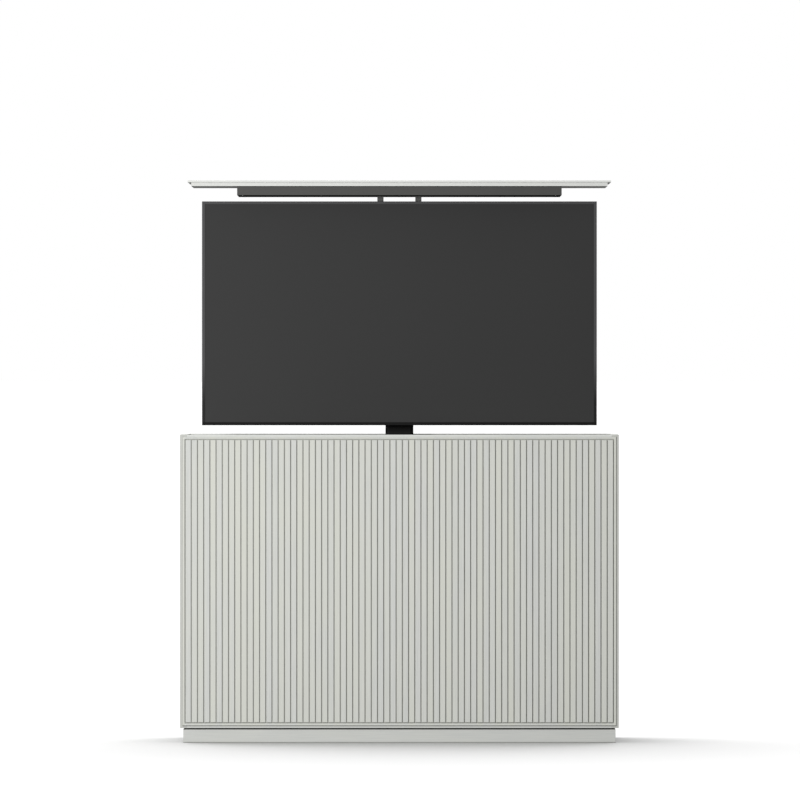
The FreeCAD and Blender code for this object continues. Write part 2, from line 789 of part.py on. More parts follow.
def column_clamps():
    """Folded steel feet, welded to the base plate and to the sides of the outer tube."""
    for label, side in (("column_foot_left", -1), ("column_foot_right", 1)):
        body = new_body(label, (f"{side} * outer_width / 2", "column_y", "base_top"))
        section = new_sketch(body, "section", "XZ_Plane")
        outline = [(0, 0), ("clamp_foot", 0), ("clamp_foot", "clamp_sheet"),
                   ("clamp_sheet", "clamp_sheet"), ("clamp_sheet", "clamp_height"),
                   (0, "clamp_height")]
        polygon(section, [(f"{side} * ({x})", z) for x, z in outline])
        pad(body, section, "clamp_depth", middle=True)


def control_box():
    """Switch box for the motor, screwed to the cabinet floor by two ears."""
    body = new_body("control_box", ("control_offset + control_width / 2",
                                    "back_front - control_depth", "floor_top"))
    half_x, half_y = "control_width / 2", "control_depth / 2"
    plan = new_sketch(body, "plan", "XY_Plane")
    rectangle(plan, f"-{half_x}", half_x, f"-{half_y}", half_y)
    box = pad(body, plan, "control_height")
    round_edges(body, box, is_upright, "tube_wall")
    ears = new_sketch(body, "ears", "XY_Plane")
    wide = f"{half_x} + control_ear"
    rectangle(ears, f"-({wide})", wide, f"-{half_y} / 2", f"{half_y} / 2")
    pad(body, ears, "tube_wall")


def motor():
    """Round motor on a square flange, with a stepped cap."""
    body = new_body("lift_motor", (0, "column_y + motor_offset", "gearbox_top"))
    can = new_sketch(body, "can", "XY_Plane")
    circle(can, 0, 0, "motor_diameter")
    pad(body, can, "motor_length")
    flange = new_sketch(body, "flange", "XY_Plane")
    half = "motor_diameter / 2 + motor_cap_step"
    rectangle(flange, f"-({half})", half, f"-({half})", half)
    pad(body, flange, "motor_flange")
    cap = new_body("motor_cap", (0, "column_y + motor_offset", "gearbox_top + motor_length"))
    disc = new_sketch(cap, "disc", "XY_Plane")
    circle(disc, 0, 0, "motor_diameter - 2 * motor_cap_step")
    pad(cap, disc, "motor_cap_height")


def spindles():
    """Two nested screws: the motor turns the lower one, which turns the hollow upper one."""
    lower = new_body("lower_spindle", (0, "column_y", "gearbox_top + thread_gap"))
    rod = new_sketch(lower, "rod", "XY_Plane")
    circle(rod, 0, 0, "lower_spindle")
    pad(lower, rod, "spindle_length")
    upper = new_body("upper_spindle", (0, "column_y", "upper_spindle_foot + stage_travel"))
    sleeve = new_sketch(upper, "sleeve", "XY_Plane")
    circle(sleeve, 0, 0, "upper_spindle")
    circle(sleeve, 0, 0, "lower_spindle + 2 * spindle_bore_gap")
    pad(upper, sleeve, "spindle_length")


# ---------------------------------------------------------------- head bracket and mount

def head_bracket():
    """Saddle on the inner tube: top plate, front leg and two cheeks beside the column."""
    body = new_body("head_bracket", (0, 0, "inner_top + lift_height"))
    section = new_sketch(body, "section", "YZ_Plane")
    rear = "column_y + outer_depth / 2"
    leg_rear = "bracket_front + bracket_plate"
    leg_end = "vesa_z - leg_drop - inner_top"
    polygon(section, [("bracket_front", "bracket_plate"), ("bracket_front", leg_end),
                      (leg_rear, leg_end), (leg_rear, 0), (rear, 0),
                      (rear, "bracket_plate")])
    pad(body, section, "2 * bracket_half", middle=True)
    for name, side in (("left", -1), ("right", 1)):
        start = "-bracket_half" if side < 0 else "cheek_inner"
        cheek = new_sketch(body, name, "YZ_Plane", start)
        polygon(cheek, [(leg_rear, 0), (rear, 0), (leg_rear, "-cheek_height")])
        pad(body, cheek, "bracket_plate")
    drill(body, "XZ_Plane", "-bracket_front",
          [(x, f"{z} + vesa_z - inner_top") for x, z in mount_bolt_spots()],
          "mount_bolt + 2 * thread_gap")


def mount_bolt_spots():
    """Centres of the bolts that join plate and bracket, from the plate's middle."""
    return [(f"{side} * mount_bolt_spacing / 2", f"{step} * mount_bolt_rise - mount_bolt_drop")
            for side in (-1, 1) for step in (0, 1)]


def mount_plate():
    """Steel plate bolted to the bracket's leg, with long slots for the television's arms."""
    body = new_body("tv_mount_plate", (0, "mount_front", "vesa_z + lift_height"))
    outline = new_sketch(body, "outline", "XZ_Plane")
    rectangle(outline, "-mount_width / 2", "mount_width / 2", "-mount_height / 2",
              "mount_height / 2")
    pad(body, outline, "mount_sheet", reverse=True)
    slots = new_sketch(body, "slots", "XZ_Plane")
    for side in (-1, 1):
        for rise in (-1, 1):
            ends = (f"{side} * bracket_half * 1.2", f"{side} * (bracket_half * 1.2 + slot_length)")
            left, right = ends if side > 0 else ends[::-1]
            level = f"{rise} * slot_rise"
            rectangle(slots, left, right, f"{level} - slot_height / 2", f"{level} + slot_height / 2")
    pocket(body, slots)
    drill(body, "XZ_Plane", 0, mount_bolt_spots(), "mount_bolt + 2 * bolt_gap")
    group("mount_bolts", [
        hex_bolt((x, "mount_front", f"vesa_z + lift_height + {z}"), (0, -1, 0), "mount_bolt",
                 "mount_sheet + bracket_plate") for x, z in mount_bolt_spots()])
    for name, side in (("upper_fold", 1), ("lower_fold", -1)):
        fold = new_sketch(body, name, "XZ_Plane", "-mount_sheet")
        ends = (f"{side} * mount_height / 2", f"{side} * (mount_height / 2 - mount_sheet)")
        low, high = ends if side < 0 else ends[::-1]
        rectangle(fold, "bracket_half + mount_fold", "mount_width / 2", low, high)
        rectangle(fold, "-mount_width / 2", "-(bracket_half + mount_fold)", low, high)
        pad(body, fold, "mount_fold", reverse=True)


def mount_arms():
    """Upright channels hooked over the plate and fixed to the television's back."""
    for label, side in (("tv_arm_left", -1), ("tv_arm_right", 1)):
        body = new_body(label, (f"{side} * vesa_width / 2", "tv_rear",
                                "vesa_z - arm_height / 2 + lift_height"))
        section = new_sketch(body, "section", "XY_Plane")
        half, wall = "arm_width / 2", "arm_sheet"
        polygon(section, [(f"-{half}", "arm_depth"), (f"-{half}", 0), (half, 0),
                          (half, "arm_depth"), (f"{half} - {wall}", "arm_depth"),
                          (f"{half} - {wall}", wall), (f"-{half} + {wall}", wall),
                          (f"-{half} + {wall}", "arm_depth")])
        pad(body, section, "arm_height")
        hook = new_sketch(body, "hook", "YZ_Plane")
        top = "(arm_height / 2 + mount_height / 2)"
        rear = "arm_depth + mount_sheet + mount_fold"
        polygon(hook, [(0, top), (rear, top), (rear, f"{top} - mount_sheet - hook_sheet"),
                       (f"{rear} + hook_sheet", f"{top} - mount_sheet - hook_sheet"),
                       (f"{rear} + hook_sheet", f"{top} + hook_sheet"),
                       (0, f"{top} + hook_sheet")])
        pad(body, hook, f"arm_width - 2 * {wall}", middle=True)


# ---------------------------------------------------------------- lid carrier

def lid_carrier():
    """Flat steel tray under the lid on two footed posts, with a dark plate closing it below."""
    for label, side in (("lid_post_left", -1), ("lid_post_right", 1)):
        body = new_body(label, (f"{side} * post_spacing / 2", "post_y",
                                "bracket_top + lift_height"))
        section = new_sketch(body, "section", "XY_Plane")
        half = "post_width / 2"
        rectangle(section, f"-{half}", half, f"-{half}", half)
        rectangle(section, f"-{half} + post_wall", f"{half} - post_wall",
                  f"-{half} + post_wall", f"{half} - post_wall")
        pad(body, section, "carrier_bottom - bracket_top")
        sole = new_sketch(body, "sole", "XY_Plane")
        rectangle(sole, "-post_foot_width / 2", "post_foot_width / 2", "-post_foot_depth / 2",
                  "post_foot_depth / 2")
        pad(body, sole, "post_foot_sheet")
    half_x, half_y = "carrier_width / 2", "carrier_depth / 2"
    tray = board("lid_carrier", (f"-{half_x}", half_x),
                 (f"carrier_y - {half_y}", f"carrier_y + {half_y}"),
                 ("carrier_bottom + lift_height", "carrier_top + lift_height"))
    hollow = new_sketch(tray, "hollow", "XY_Plane")
    rectangle(hollow, f"-{half_x} + carrier_sheet", f"{half_x} - carrier_sheet",
              f"-{half_y} + carrier_sheet", f"{half_y} - carrier_sheet")
    pocket(tray, hollow, "carrier_height - carrier_sheet", reverse=True)
    gap = "(carrier_sheet + fit_clearance)"
    board("carrier_bottom_plate", (f"-{half_x} + {gap}", f"{half_x} - {gap}"),
          (f"carrier_y - {half_y} + {gap}", f"carrier_y + {half_y} - {gap}"),
          ("carrier_bottom + lift_height", "carrier_bottom + carrier_sheet + lift_height"))
    strips = []
    for side in (-1, 1):
        middle = f"{side} * ({half_x} - carrier_pad_inset - carrier_pad_width / 2)"
        strips.append(primitive(
            "Box", (f"{middle} - carrier_pad_width / 2",
                    f"carrier_y - {half_y} + carrier_pad_inset", "carrier_top + lift_height"),
            Length="carrier_pad_width", Width="carrier_depth - 2 * carrier_pad_inset",
            Height="carrier_pad"))
    group("carrier_pads", strips)


# ---------------------------------------------------------------- television

def television():
    """Thin frame, glass, rear tray and the deeper housing that holds the electronics."""
    bezel = new_body("tv_bezel", (0, "tv_face", "tv_bottom + lift_height"))
    outline = new_sketch(bezel, "outline", "XZ_Plane")
    rectangle(outline, "-tv_width / 2", "tv_width / 2", 0, "tv_height")
    block = pad(bezel, outline, "bezel_depth", reverse=True)

    def front_rim(edge):
        return all(abs(vertex.Point.y) < 1e-6 for vertex in edge.Vertexes)
    round_edges(bezel, block, front_rim, "bezel_ease", "Chamfer")
    view = ("-tv_width / 2 + bezel_side", "tv_width / 2 - bezel_side",
            "bezel_bottom", "tv_height - bezel_top")
    opening = new_sketch(bezel, "opening", "XZ_Plane")
    rectangle(opening, *view)
    pocket(bezel, opening)
    lapped = [f"{text} {sign} screen_lap" for text, sign in zip(view, "-+-+")]
    rebate = new_sketch(bezel, "rebate", "XZ_Plane", "-bezel_lip")
    rectangle(rebate, *lapped)
    pocket(bezel, rebate, "bezel_depth", reverse=False)
    screen = new_body("tv_screen", (0, "tv_face + bezel_lip", "tv_bottom + lift_height"))
    glass = new_sketch(screen, "glass", "XZ_Plane")
    inside = [f"{text} {sign} fit_clearance" for text, sign in zip(lapped, "+-+-")]
    rectangle(glass, *inside)
    pad(screen, glass, "screen_thickness", reverse=True)
    shell = new_body("tv_rear_shell", (0, "bezel_rear", "tv_bottom + lift_height"))
    plate = new_sketch(shell, "plate", "XZ_Plane")
    rectangle(plate, "-tv_width / 2 + shell_inset", "tv_width / 2 - shell_inset",
              "shell_inset", "tv_height - shell_inset")
    pad(shell, plate, "shell_depth", reverse=True)
    cavity = new_sketch(shell, "cavity", "XZ_Plane")
    rim = "shell_inset + tv_wall"
    rectangle(cavity, f"-tv_width / 2 + {rim}", f"tv_width / 2 - ({rim})",
              rim, f"tv_height - ({rim})")
    pocket(shell, cavity, "shell_depth - tv_wall")
    window = new_sketch(shell, "window", "XZ_Plane")
    wall = "housing_slope + tv_wall"
    rectangle(window, f"-housing_width / 2 + {wall}", f"housing_width / 2 - ({wall})",
              f"housing_lift + {wall}", f"housing_lift + housing_height - ({wall})")
    pocket(shell, window)
    housing = new_body("tv_housing", (0, "shell_rear", "tv_bottom + housing_lift + lift_height"))
    low = new_sketch(housing, "low", "XZ_Plane")
    rectangle(low, "-housing_width / 2", "housing_width / 2", 0, "housing_height")
    block = pad(housing, low, "housing_depth", reverse=True)
    block.setExpression("TaperAngle", formula("-atan(housing_slope / housing_depth)"))
    hollow(housing, block, "tv_wall")
    vent = new_sketch(housing, "vent", "XZ_Plane")
    first = "-(tv_vent_count - 1) * tv_vent_pitch / 2"
    top = "housing_height - tv_vent_drop"
    rectangle(vent, f"{first} - tv_vent_width / 2", f"{first} + tv_vent_width / 2",
              f"{top} - tv_vent_length", top)
    repeat(housing, pocket(housing, vent), "X_Axis", "tv_vent_count", "tv_vent_pitch")


def write_parts():
    doc.recompute()
    for thing in doc.Objects:
        if "Invalid" in thing.State or "Error" in thing.State:
            raise RuntimeError(f"{thing.Label} failed: {thing.State}")
        if thing.TypeId == "PartDesign::Pocket":
            before = thing.BaseFeature.Shape.Volume
            if thing.Shape.Volume > before - 1e-3:
                raise RuntimeError(f"{thing.Label} cuts nothing")
    os.makedirs("parts", exist_ok=True)
    for piece in pieces:
        if piece.Shape.isNull() or not piece.Shape.isValid():
            raise RuntimeError(f"{piece.Label} has no valid shape")
        piece.Shape.exportStep(os.path.join("parts", piece.Label + ".step"))
        print(piece.Label, len(piece.Shape.Solids), round(piece.Shape.Volume))


side_panel("side_panel_left", -1)
side_panel("side_panel_right", 1)
bottom_panel()
front_top_rail()
board("back_top_rail", ("-inner_half", "inner_half"), ("rear_rail_front", "back_face"),
      ("rear_rail_bottom", "cabinet_height"))
back_panel()
access_cover()
cable_grommet()
corner_angles()
plinth()
front_panel()
lid()
lid_seats()
base_plate()
gearbox()
column_clamps()
motor()
control_box()
spindles()
column()
head_bracket()
mount_plate()
mount_arms()
lid_carrier()
television()
write_parts()
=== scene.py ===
import math

import bmesh
import bpy
from mathutils import Matrix, Vector


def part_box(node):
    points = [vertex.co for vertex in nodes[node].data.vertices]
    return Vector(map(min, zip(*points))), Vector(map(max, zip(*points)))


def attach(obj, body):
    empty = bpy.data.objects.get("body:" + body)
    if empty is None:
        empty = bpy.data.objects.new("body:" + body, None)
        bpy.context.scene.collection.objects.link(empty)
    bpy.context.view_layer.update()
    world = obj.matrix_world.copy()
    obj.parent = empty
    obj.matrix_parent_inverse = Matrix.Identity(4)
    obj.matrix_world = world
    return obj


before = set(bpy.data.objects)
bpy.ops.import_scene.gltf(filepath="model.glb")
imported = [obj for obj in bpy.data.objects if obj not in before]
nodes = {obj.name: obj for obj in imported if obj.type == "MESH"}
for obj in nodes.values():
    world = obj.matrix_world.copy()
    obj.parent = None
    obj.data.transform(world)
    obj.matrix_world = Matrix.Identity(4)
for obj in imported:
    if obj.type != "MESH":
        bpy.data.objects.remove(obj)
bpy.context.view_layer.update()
mm = 0.001


def hexToLinear(code):
    channels = [int(code[i:i + 2], 16) / 255 for i in (0, 2, 4)]
    return [c / 12.92 if c <= 0.04045 else ((c + 0.055) / 1.055) ** 2.4 for c in channels] + [1.0]


def corners(node):
    low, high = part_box(node)
    return low / mm, high / mm


def addNode(tree, kind, settings={}, links={}, feeds=None):
    # a link comes from a socket or from a node's first output; feeds names the shader's socket
    node = tree.nodes.new("ShaderNode" + kind)
    for name, value in settings.items():
        if isinstance(name, int) or name in node.inputs:
            node.inputs[name].default_value = value
        else:
            setattr(node, name, value)
    for name, source in links.items():
        tree.links.new(getattr(source, "outputs", [source])[0], node.inputs[name])
    if feeds:
        tree.links.new(node.outputs[0], tree.nodes["Principled BSDF"].inputs[feeds])
    return node


edgeRadius = 0.7


def startMaterial(name, colour, **sockets):
    # plain values on the shader, the piece's own metres as coordinates, and eased edges; the
    # plain colour is what a viewer without the pattern shows
    material = bpy.data.materials.new(name)
    material.use_nodes = True
    tree = material.node_tree
    shader = tree.nodes["Principled BSDF"]
    shader.inputs["Base Color"].default_value = hexToLinear(colour)
    for socket, value in sockets.items():
        shader.inputs[socket.replace("_", " ")].default_value = value
    material.diffuse_color = hexToLinear(colour)
    metres = addNode(tree, "TexCoord").outputs["Object"]
    eased = addNode(tree, "Bevel", {"samples": 4, "Radius": edgeRadius * mm})
    return material, tree, metres, eased


# cut is the deeper grey painted into the milled grooves as their shade
lacquer = {"fresh": "F0F1EE", "pale": "D0D1CD", "deep": "C5C7C4", "warm": "CFD0C6",
           "cut": "AFB0AA", "streakWidth": 2.6, "streakLength": 130, "broadWidth": 45,
           "broadLength": 260, "poreWidth": 0.5, "poreLength": 9, "poreDepth": 0.12,
           "slatPitch": 19.8512, "slatChange": 0.6, "cutStart": 0.4, "cutEnd": 1.6}
# painted contact shadow along the plinth's foot: its grey, its height and its fade
plinthFootShade = {"tone": "868782", "height": 2, "fade": 0.3}


def openPoreLacquer(name, along, fluted=False, other="fresh", share=0.0, footShade=None):
    # ash veneer under matt grey lacquer: long faint streaks of grain and fine open pores,
    # which are drawn half a millimetre wide so that they show; other and share name a second
    # tone and how much of it is mixed into these boards' colour
    material, tree, metres, eased = startMaterial(name, lacquer["pale"], IOR=1.46,
                                                  Specular_IOR_Level=0.35)

    def stretched(width, length):
        scale = [1 / (width * mm)] * 3
        scale[along] = 1 / (length * mm)
        return addNode(tree, "Mapping", {"Scale": scale}, {"Vector": metres})

    streaks = addNode(tree, "TexNoise", {"Scale": 1, "Detail": 5, "Roughness": 0.62},
                      {"Vector": stretched(lacquer["streakWidth"], lacquer["streakLength"])})
    sharper = addNode(tree, "MapRange", {"From Min": 0.34, "From Max": 0.66}, {"Value": streaks})
    tone = addNode(tree, "MixRGB", {"Color1": hexToLinear(lacquer["deep"]),
                                    "Color2": hexToLinear(lacquer["pale"])}, {"Fac": sharper})
    broad = addNode(tree, "TexNoise", {"Scale": 1, "Detail": 2},
                    {"Vector": stretched(lacquer["broadWidth"], lacquer["broadLength"])})
    if fluted:
        # each slat has its own strip of veneer, so its tone differs a little; the count starts
        # far to the left, and the half is there because a slat stands on the middle line
        across = addNode(tree, "SeparateXYZ", {}, {"Vector": metres})
        number = addNode(tree, "Math", {"operation": "MULTIPLY_ADD",
                                        1: 1 / (lacquer["slatPitch"] * mm), 2: 100.5}, {0: across})
        strip = addNode(tree, "Math", {"operation": "FLOOR"}, {0: number})
        chance = addNode(tree, "TexWhiteNoise", {"noise_dimensions": "1D"}, {"W": strip})
        broad = addNode(tree, "Math", {"operation": "MULTIPLY_ADD", 1: lacquer["slatChange"]},
                        {0: chance, 2: broad})
    warmth = addNode(tree, "MapRange", {"From Min": 0.45, "From Max": 1.1, "To Max": 0.75},
                     {"Value": broad})
    mixed = addNode(tree, "MixRGB", {"Color2": hexToLinear(lacquer["warm"])},
                    {"Fac": warmth, "Color1": tone})
    tinted = addNode(tree, "MixRGB", {"Fac": share, "Color2": hexToLinear(lacquer[other])},
                     {"Color1": mixed}, "Base Color")
    if footShade:
        # painted shade: the boards' lowest two millimetres are darkened as the contact shadow
        # where they meet the floor
        height = addNode(tree, "SeparateXYZ", {}, {"Vector": metres}).outputs["Z"]
        footShadeMask = addNode(tree, "MapRange", {"From Min": (footShade["height"] + footShade["fade"]) * mm,
                                            "From Max": footShade["height"] * mm}, {"Value": height})
        addNode(tree, "MixRGB", {"Color2": hexToLinear(footShade["tone"])},
                {"Fac": footShadeMask, "Color1": tinted}, "Base Color")
    if fluted:
        # painted shade: inside the milled grooves the lacquer is drawn in the deeper cut grey,
        # standing in for the shade the grooves hold
        face = corners("front_panel")[0].y
        inside = addNode(tree, "MapRange", {"From Min": (face + lacquer["cutStart"]) * mm,
                                            "From Max": (face + lacquer["cutEnd"]) * mm},
                         {"Value": across.outputs["Y"]})
        addNode(tree, "MixRGB", {"Color2": hexToLinear(lacquer["cut"])},
                {"Fac": inside, "Color1": tinted}, "Base Color")
    pores = addNode(tree, "TexNoise", {"Scale": 1, "Detail": 2},
                    {"Vector": stretched(lacquer["poreWidth"], lacquer["poreLength"])})
    addNode(tree, "MapRange", {"To Min": 0.5, "To Max": 0.68}, {"Value": pores}, "Roughness")
    addNode(tree, "Bump", {"Distance": lacquer["poreDepth"] * mm},
            {"Height": pores, "Normal": eased}, "Normal")
    return material


powder = {"grit": 0.9, "cloud": 111.1, "depth": 0.06}


def powderCoat(name, colour, deeper, roughness, shine=0.5):
    # sprayed polyester powder: a fine even orange peel with a dull sheen, clouded very faintly
    material, tree, metres, eased = startMaterial(name, colour, Specular_IOR_Level=shine)
    peel = addNode(tree, "TexNoise", {"Scale": 1 / (powder["grit"] * mm), "Detail": 3},
                   {"Vector": metres})
    cloud = addNode(tree, "TexNoise", {"Scale": 1 / (powder["cloud"] * mm), "Detail": 3},
                    {"Vector": metres})
    addNode(tree, "MixRGB", {"Color1": hexToLinear(deeper), "Color2": hexToLinear(colour)},
            {"Fac": cloud}, "Base Color")
    addNode(tree, "MapRange", {"To Min": roughness - 0.08, "To Max": roughness + 0.08},
            {"Value": peel}, "Roughness")
    addNode(tree, "Bump", {"Distance": powder["depth"] * mm}, {"Height": peel, "Normal": eased},
            "Normal")
    return material


moulding = {"grain": 0.8, "drift": 71.43, "depth": 0.05}
# painted shade at the television frame's foot: its near-black grey and the heights above the
# frame's foot where it ends and starts
frameShade = {"node": "tv_bezel", "tone": "111111", "from": 196, "to": 73}


def mouldedPlastic(name, colour, deeper, roughness, shine=0.5, paintedShade=None):
    # injection-moulded, with the fine spark-eroded grain of its tool and a dull even sheen
    material, tree, metres, eased = startMaterial(name, colour, IOR=1.53, Specular_IOR_Level=shine)
    grain = addNode(tree, "TexVoronoi", {"Scale": 1 / (moulding["grain"] * mm),
                                         "feature": "SMOOTH_F1"}, {"Vector": metres})
    drift = addNode(tree, "TexNoise", {"Scale": 1 / (moulding["drift"] * mm), "Detail": 2},
                    {"Vector": metres})
    toned = addNode(tree, "MixRGB", {"Color1": hexToLinear(deeper), "Color2": hexToLinear(colour)},
                    {"Fac": drift}, "Base Color")
    if paintedShade:
        # painted shade: the frame's colour sinks to near black between these heights over its
        # lowest edge, standing in for the dark cabinet it reflects there
        base = corners(paintedShade["node"])[0].z
        upright = addNode(tree, "SeparateXYZ", {}, {"Vector": metres}).outputs["Z"]
        sunk = addNode(tree, "MapRange", {"From Min": (base + paintedShade["from"]) * mm,
                                          "From Max": (base + paintedShade["to"]) * mm},
                       {"Value": upright})
        addNode(tree, "MixRGB", {"Color2": hexToLinear(paintedShade["tone"])},
                {"Fac": sunk, "Color1": toned}, "Base Color")
    addNode(tree, "MapRange", {"To Min": roughness - 0.07, "To Max": roughness + 0.09},
            {"Value": grain}, "Roughness")
    addNode(tree, "Bump", {"Distance": moulding["depth"] * mm}, {"Height": grain, "Normal": eased},
            "Normal")
    return material


zinc = {"spangle": 5, "depth": 0.02, "bright": "C9CAC6", "dull": "A3A59F"}


def zincPlate(name):
    # electroplated steel: bright, a little cloudy, faintly mottled
    material, tree, metres, eased = startMaterial(name, zinc["bright"], Metallic=1.0)
    cloud = addNode(tree, "TexNoise", {"Scale": 1 / (zinc["spangle"] * mm), "Detail": 4},
                    {"Vector": metres})
    addNode(tree, "MixRGB", {"Color1": hexToLinear(zinc["dull"]),
                             "Color2": hexToLinear(zinc["bright"])},
            {"Fac": cloud}, "Base Color")
    addNode(tree, "MapRange", {"To Min": 0.24, "To Max": 0.42}, {"Value": cloud}, "Roughness")
    addNode(tree, "Bump", {"Distance": zinc["depth"] * mm},
            {"Height": cloud, "Normal": eased}, "Normal")
    return material


casting = {"skin": 1.4, "flow": 45, "depth": 0.12, "dark": "77797A", "light": "9C9E9F"}


def dieCastAluminium(name):
    # as cast and tumbled: grey and grainy, without a cut sheen
    material, tree, metres, eased = startMaterial(name, casting["light"], Metallic=1.0)
    skin = addNode(tree, "TexNoise", {"Scale": 1 / (casting["skin"] * mm), "Detail": 6},
                   {"Vector": metres})
    flow = addNode(tree, "TexNoise", {"Scale": 1 / (casting["flow"] * mm), "Detail": 3,
                                      "Distortion": 1.2}, {"Vector": metres})
    addNode(tree, "MixRGB", {"Color1": hexToLinear(casting["dark"]),
                             "Color2": hexToLinear(casting["light"])}, {"Fac": flow}, "Base Color")
    addNode(tree, "MapRange", {"To Min": 0.44, "To Max": 0.64}, {"Value": skin}, "Roughness")
    addNode(tree, "Bump", {"Distance": casting["depth"] * mm},
            {"Height": skin, "Normal": eased}, "Normal")
    return material


thread = {"pitch": 4, "depth": 0.6, "smear": 16.67, "dark": "8B8A84", "light": "BDBEBC"}


def rolledThreadSteel(name):
    # bare bar with a rolled thread: bright flanks, drawn as fine rings one pitch apart
    material, tree, metres, eased = startMaterial(name, thread["light"], Metallic=1.0)
    rings = addNode(tree, "TexWave", {"bands_direction": "Z",
                                      "Scale": math.pi / (10 * thread["pitch"] * mm)},
                    {"Vector": metres})
    smear = addNode(tree, "TexNoise", {"Scale": 1 / (thread["smear"] * mm), "Detail": 4},
                    {"Vector": metres})
    addNode(tree, "MixRGB", {"Color1": hexToLinear(thread["dark"]),
                             "Color2": hexToLinear(thread["light"])}, {"Fac": smear}, "Base Color")
    addNode(tree, "MapRange", {"To Min": 0.2, "To Max": 0.38}, {"Value": smear}, "Roughness")
    addNode(tree, "Bump", {"Distance": thread["depth"] * mm},
            {"Height": rings, "Normal": eased}, "Normal")
    return material


enamel = {"run": 7, "depth": 0.03, "plain": "1B1B1C", "dark": "151516", "light": "222223"}


def stovedEnamel(name):
    # stoved enamel on a drawn can: dark and fairly glossy, with slight runs
    material, tree, metres, eased = startMaterial(name, enamel["plain"], IOR=1.52)
    runs = addNode(tree, "TexNoise", {"Scale": 1 / (enamel["run"] * mm), "Detail": 2},
                   {"Vector": metres})
    addNode(tree, "MixRGB", {"Color1": hexToLinear(enamel["dark"]),
                             "Color2": hexToLinear(enamel["light"])}, {"Fac": runs}, "Base Color")
    addNode(tree, "MapRange", {"To Min": 0.24, "To Max": 0.36}, {"Value": runs}, "Roughness")
    addNode(tree, "Bump", {"Distance": enamel["depth"] * mm},
            {"Height": runs, "Normal": eased}, "Normal")
    return material


foam = {"cell": 0.7, "depth": 0.12, "plain": "222222", "dark": "1B1B1B", "light": "2A2A29"}


def foamRubber(name):
    # closed-cell foam with a skin, which soaks up light
    material, tree, metres, eased = startMaterial(name, foam["plain"], IOR=1.45,
                                                  Specular_IOR_Level=0.2)
    cells = addNode(tree, "TexVoronoi", {"Scale": 1 / (foam["cell"] * mm)}, {"Vector": metres})
    addNode(tree, "MixRGB", {"Color1": hexToLinear(foam["dark"]),
                             "Color2": hexToLinear(foam["light"])}, {"Fac": cells}, "Base Color")
    addNode(tree, "MapRange", {"To Min": 0.82, "To Max": 0.95}, {"Value": cells}, "Roughness")
    addNode(tree, "Bump", {"Distance": foam["depth"] * mm},
            {"Height": cells, "Normal": eased}, "Normal")
    return material


fibreboard = {"fibre": 1.1, "depth": 0.1, "plain": "0D0D0D", "dark": "080808",
              "light": "131211"}


def stainedFibreboard(name):
    # raw fibreboard stained black: open fibres and no sheen
    material, tree, metres, eased = startMaterial(name, fibreboard["plain"],
                                                  Specular_IOR_Level=0.1)
    fibres = addNode(tree, "TexNoise", {"Scale": 1 / (fibreboard["fibre"] * mm), "Detail": 5},
                     {"Vector": metres})
    addNode(tree, "MixRGB", {"Color1": hexToLinear(fibreboard["dark"]),
                             "Color2": hexToLinear(fibreboard["light"])},
            {"Fac": fibres}, "Base Color")
    addNode(tree, "MapRange", {"To Min": 0.8, "To Max": 0.95}, {"Value": fibres}, "Roughness")
    addNode(tree, "Bump", {"Distance": fibreboard["depth"] * mm},
            {"Height": fibres, "Normal": eased}, "Normal")
    return material


melamine = {"pearl": 1.3, "shift": 250, "depth": 0.05, "plain": "CFCFC9", "dark": "C8C8C2",
            "light": "D3D3CD"}


def pearlMelamine(name):
    # pressed melamine paper on thin fibreboard: a fine pearl texture with a soft sheen
    material, tree, metres, eased = startMaterial(name, melamine["plain"], IOR=1.5)
    pearl = addNode(tree, "TexVoronoi", {"Scale": 1 / (melamine["pearl"] * mm),
                                         "feature": "SMOOTH_F1"}, {"Vector": metres})
    shift = addNode(tree, "TexNoise", {"Scale": 1 / (melamine["shift"] * mm), "Detail": 3},
                    {"Vector": metres})
    addNode(tree, "MixRGB", {"Color1": hexToLinear(melamine["dark"]),
                             "Color2": hexToLinear(melamine["light"])},
            {"Fac": shift}, "Base Color")
    addNode(tree, "MapRange", {"To Min": 0.38, "To Max": 0.5}, {"Value": pearl}, "Roughness")
    addNode(tree, "Bump", {"Distance": melamine["depth"] * mm},
            {"Height": pearl, "Normal": eased}, "Normal")
    return material


film = {"etch": 0.6, "shift": 769.2, "depth": 0.01, "plain": "303030", "dark": "2E2E2E",
        "light": "323232"}


def antiGlareFilm(name):
    # etched front film over a black panel: an even, soft dark grey with a very fine sparkle
    material, tree, metres, eased = startMaterial(name, film["plain"], IOR=1.5,
                                                  Specular_IOR_Level=0.15)
    etch = addNode(tree, "TexNoise", {"Scale": 1 / (film["etch"] * mm), "Detail": 2},
                   {"Vector": metres})
    shift = addNode(tree, "TexNoise", {"Scale": 1 / (film["shift"] * mm), "Detail": 1},
                    {"Vector": metres})
    addNode(tree, "MixRGB", {"Color1": hexToLinear(film["dark"]),
                             "Color2": hexToLinear(film["light"])}, {"Fac": shift}, "Base Color")
    addNode(tree, "MapRange", {"To Min": 0.5, "To Max": 0.62}, {"Value": etch}, "Roughness")
    addNode(tree, "Bump", {"Distance": film["depth"] * mm},
            {"Height": etch, "Normal": eased}, "Normal")
    return material


lens = {"haze": 8.333, "depth": 0.01, "dark": "27592F", "light": "2F6B3A"}


